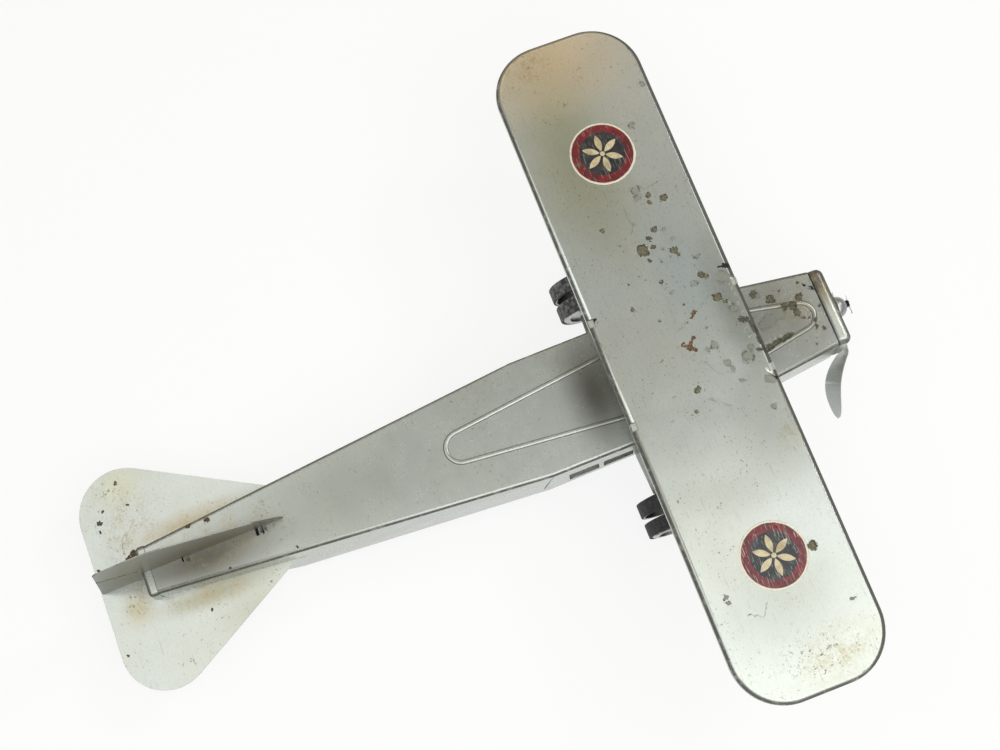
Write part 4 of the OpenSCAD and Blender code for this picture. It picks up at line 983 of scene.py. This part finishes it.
class TOYPLANE_OT_propeller(bpy.types.Operator):
    """Propeller blade and spinner"""
    bl_idname = "toyplane.propeller"
    bl_label = "Propeller"

    def execute(self, context):
        blade = aluminium_lacquered_steel("blade", chipping=0.3, roughness=0.42, shine=0.95, fold_shade_amount=0.0)
        dress(blade, "propeller", soft=context.scene.airplane.broken_edge)
        dome = aluminium_lacquered_steel(
            "spinner", chipping=0.2, roughness=0.36, fold_shade_amount=0.0, tone_and_shade=0.74,
            tints_and_painted_light=[(HUB, (30, 30, 30), "#AFAFBC", 0.8)])
        dress(dome, "spinner")
        return {"FINISHED"}


# The wire knot: turns and radius in mm of the winding and of the looser one that crosses it
WOUND_TURNS, WOUND_RADIUS = 3.2, 2.25
CROSSED_TURNS, CROSSED_RADIUS = 1.6, 2.7
WINDING_STEPS = 44
# Frayed ends, thinner towards the tip: side, up, length in mm, thickness share
WIRE_ENDS = ((0.9, 0.75, 5.4, 0.34), (0.45, 0.95, 5.0, 0.3), (-0.8, 0.6, 4.4, 0.3),
             (-0.95, 0.15, 7.4, 0.62), (-0.3, 0.9, 3.6, 0.36))
# How far from the shaft they start in mm, points on each, and how strongly they bend and sway
ENDS_FROM, END_POINTS = 1.9, 5
END_BEND, END_SWAY = 60, 1.7


class TOYPLANE_OT_knot(bpy.types.Operator):
    """Binding wire wound round the tip of the propeller shaft, with frayed ends"""
    bl_idname = "toyplane.knot"
    bl_label = "Wire knot"

    def execute(self, context):
        settings = context.scene.airplane
        draw = random.Random(settings.knot_seed)
        wire = settings.knot_wire
        low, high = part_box("wire_knot")
        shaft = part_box("prop_shaft")
        centre = (shaft[0] + shaft[1]) / 2
        front, back = low.y + wire * 0.6, high.y
        curve = wire_curve("wire_knot_wound", wire)

        wound = []
        for k in range(WINDING_STEPS + 1):
            share = k / WINDING_STEPS
            angle = 2 * math.pi * WOUND_TURNS * share
            bulge = 0.5 * math.sin(3 * angle / WOUND_TURNS)
            reach = WOUND_RADIUS * MM + wire * (bulge + draw.uniform(-0.15, 0.15))
            wound.append((centre.x + reach * math.cos(angle), back + (front - back) * share,
                          centre.z + reach * math.sin(angle)))
        add_wire(curve, wound)

        crossed = []
        for k in range(WINDING_STEPS + 1):
            share = k / WINDING_STEPS
            angle = 1.0 - 2 * math.pi * CROSSED_TURNS * share
            reach = CROSSED_RADIUS * MM + wire * draw.uniform(-0.2, 0.2)
            sway = 0.5 + 0.5 * math.sin(5 * share)
            crossed.append((centre.x + reach * math.cos(angle), front + (back - front) * sway,
                            centre.z + reach * math.sin(angle)))
        add_wire(curve, crossed)

        for side, up, length, share in WIRE_ENDS:
            start = Vector((centre.x + ENDS_FROM * MM * side, (front + back) / 2,
                            centre.z + ENDS_FROM * MM * up))
            bend = draw.uniform(-0.35, 0.35)
            points = []
            for k in range(END_POINTS):
                run = length * MM * k / (END_POINTS - 1)
                points.append((start.x + run * side + run * run * bend * END_BEND,
                               start.y + wire * 0.6 * math.sin(k * END_SWAY),
                               start.z + run * up * (1 - 0.1 * k)))
            tip = share * (1.5 if share > 0.5 else 0.7)
            add_wire(curve, points, [share, share, share * 1.05, share * 0.9, tip])
        iron = black_iron_wire("black iron wire")
        knot = add_piece("wire_knot_wound", curve, "propeller_set", iron)
        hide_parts("wire_knot")
        return {"FINISHED"}


# Half the side of the backdrop paper in metres, and the width of the camera's frame in mm
PAPER_HALF = 8.0
FRAME_WIDTH = 36.0


class TOYPLANE_OT_stage(bpy.types.Operator):
    """White paper floor, even sky, soft lamps and the camera"""
    bl_idname = "toyplane.stage"
    bl_label = "Stage"

    def execute(self, context):
        scene = context.scene
        studio = scene.studio
        sheet = bpy.data.meshes.new("backdrop paper")
        corners = [(x * PAPER_HALF, y * PAPER_HALF, 0) for x, y in ((-1, -1), (1, -1), (1, 1), (-1, 1))]
        sheet.from_pydata(corners, [], [(0, 1, 2, 3)])
        floor = bpy.data.objects.new("backdrop_paper", sheet)
        scene.collection.objects.link(floor)
        sheet.materials.append(studio_floor("matt white backdrop paper", studio))

        scene.world = soft_room(studio)
        # Name, place, point it faces, width, height, brightness and colour
        lamps = [
            ("key_lamp", (0.45, -1.5, 1.6), (0.0, -0.1, 0.1), 0.45, 0.45, studio.key, "#FFFAF3"),
            ("starboard_panel", (-0.93, -0.5, 1.7), (-0.93, -0.5, 0.0), 1.94, 2.2, studio.starboard_panel,
             "#FCFEFB"),
            ("aft_panel", (0.0, 1.05, 1.7), (0.0, 1.05, 0.0), 1.5, 1.2, studio.aft_panel, "#FDFEFB"),
            ("port_panel", (1.35, -0.35, 1.7), (1.35, -0.35, 0.0), 0.75, 1.1, studio.port_panel, "#FFE9C8"),
        ]
        for name, place, aim, wide, high, brightness, hue in lamps:
            light = bpy.data.lights.new(name, "AREA")
            light.shape = "RECTANGLE"
            light.size, light.size_y = wide, high
            light.energy = brightness * math.pi * wide * high
            light.color = linear(hue)
            lamp = bpy.data.objects.new(name, light)
            lamp.location = place
            facing = Vector(aim) - Vector(place)
            # A lamp that faces straight down needs no turn
            if facing.xy.length:
                lamp.rotation_euler = facing.to_track_quat("-Z", "Y").to_euler()
            scene.collection.objects.link(lamp)

        view = bpy.data.cameras.new("camera")
        view.lens, view.sensor_width = studio.camera_lens, FRAME_WIDTH
        camera = bpy.data.objects.new("camera", view)
        place, aim = Vector(studio.camera_place), Vector(studio.camera_aim)
        turn = (aim - place).to_track_quat("-Z", "Y").to_matrix().to_4x4()
        roll = Matrix.Rotation(studio.camera_roll, 4, "Z")
        camera.matrix_world = Matrix.Translation(place) @ turn @ roll
        scene.collection.objects.link(camera)
        scene.camera = camera
        scene.view_settings.view_transform = "Standard"
        return {"FINISHED"}


class TOYPLANE_PT_panel(bpy.types.Panel):
    """Lists the pieces of the airplane and its settings"""
    bl_idname = "TOYPLANE_PT_panel"
    bl_label = "Toy airplane"
    bl_space_type = "VIEW_3D"
    bl_region_type = "UI"
    bl_category = "Toy airplane"

    def draw(self, context):
        for group in (context.scene.airplane, context.scene.studio):
            for key in group.bl_rna.properties.keys():
                if key not in ("rna_type", "name"):
                    self.layout.prop(group, key)
        for step in STEPS:
            self.layout.operator(step.bl_idname)


STEPS = (TOYPLANE_OT_stage, TOYPLANE_OT_wing, TOYPLANE_OT_body, TOYPLANE_OT_tail, TOYPLANE_OT_cabin,
         TOYPLANE_OT_gear, TOYPLANE_OT_wheels, TOYPLANE_OT_propeller, TOYPLANE_OT_knot)
CLASSES = (StudioSettings, AirplaneSettings) + STEPS + (TOYPLANE_PT_panel,)


def register():
    """Makes the settings, operators and panel known to Blender."""
    for item in CLASSES:
        bpy.utils.register_class(item)
    bpy.types.Scene.studio = PointerProperty(type=StudioSettings)
    bpy.types.Scene.airplane = PointerProperty(type=AirplaneSettings)


def unregister():
    """Takes them away again."""
    del bpy.types.Scene.airplane
    del bpy.types.Scene.studio
    for item in reversed(CLASSES):
        bpy.utils.unregister_class(item)


def main():
    """Makes the whole scene."""
    register()
    for step in STEPS:
        group, name = step.bl_idname.split(".")
        getattr(getattr(bpy.ops, group), name)()


if __name__ == "__main__":
    main()
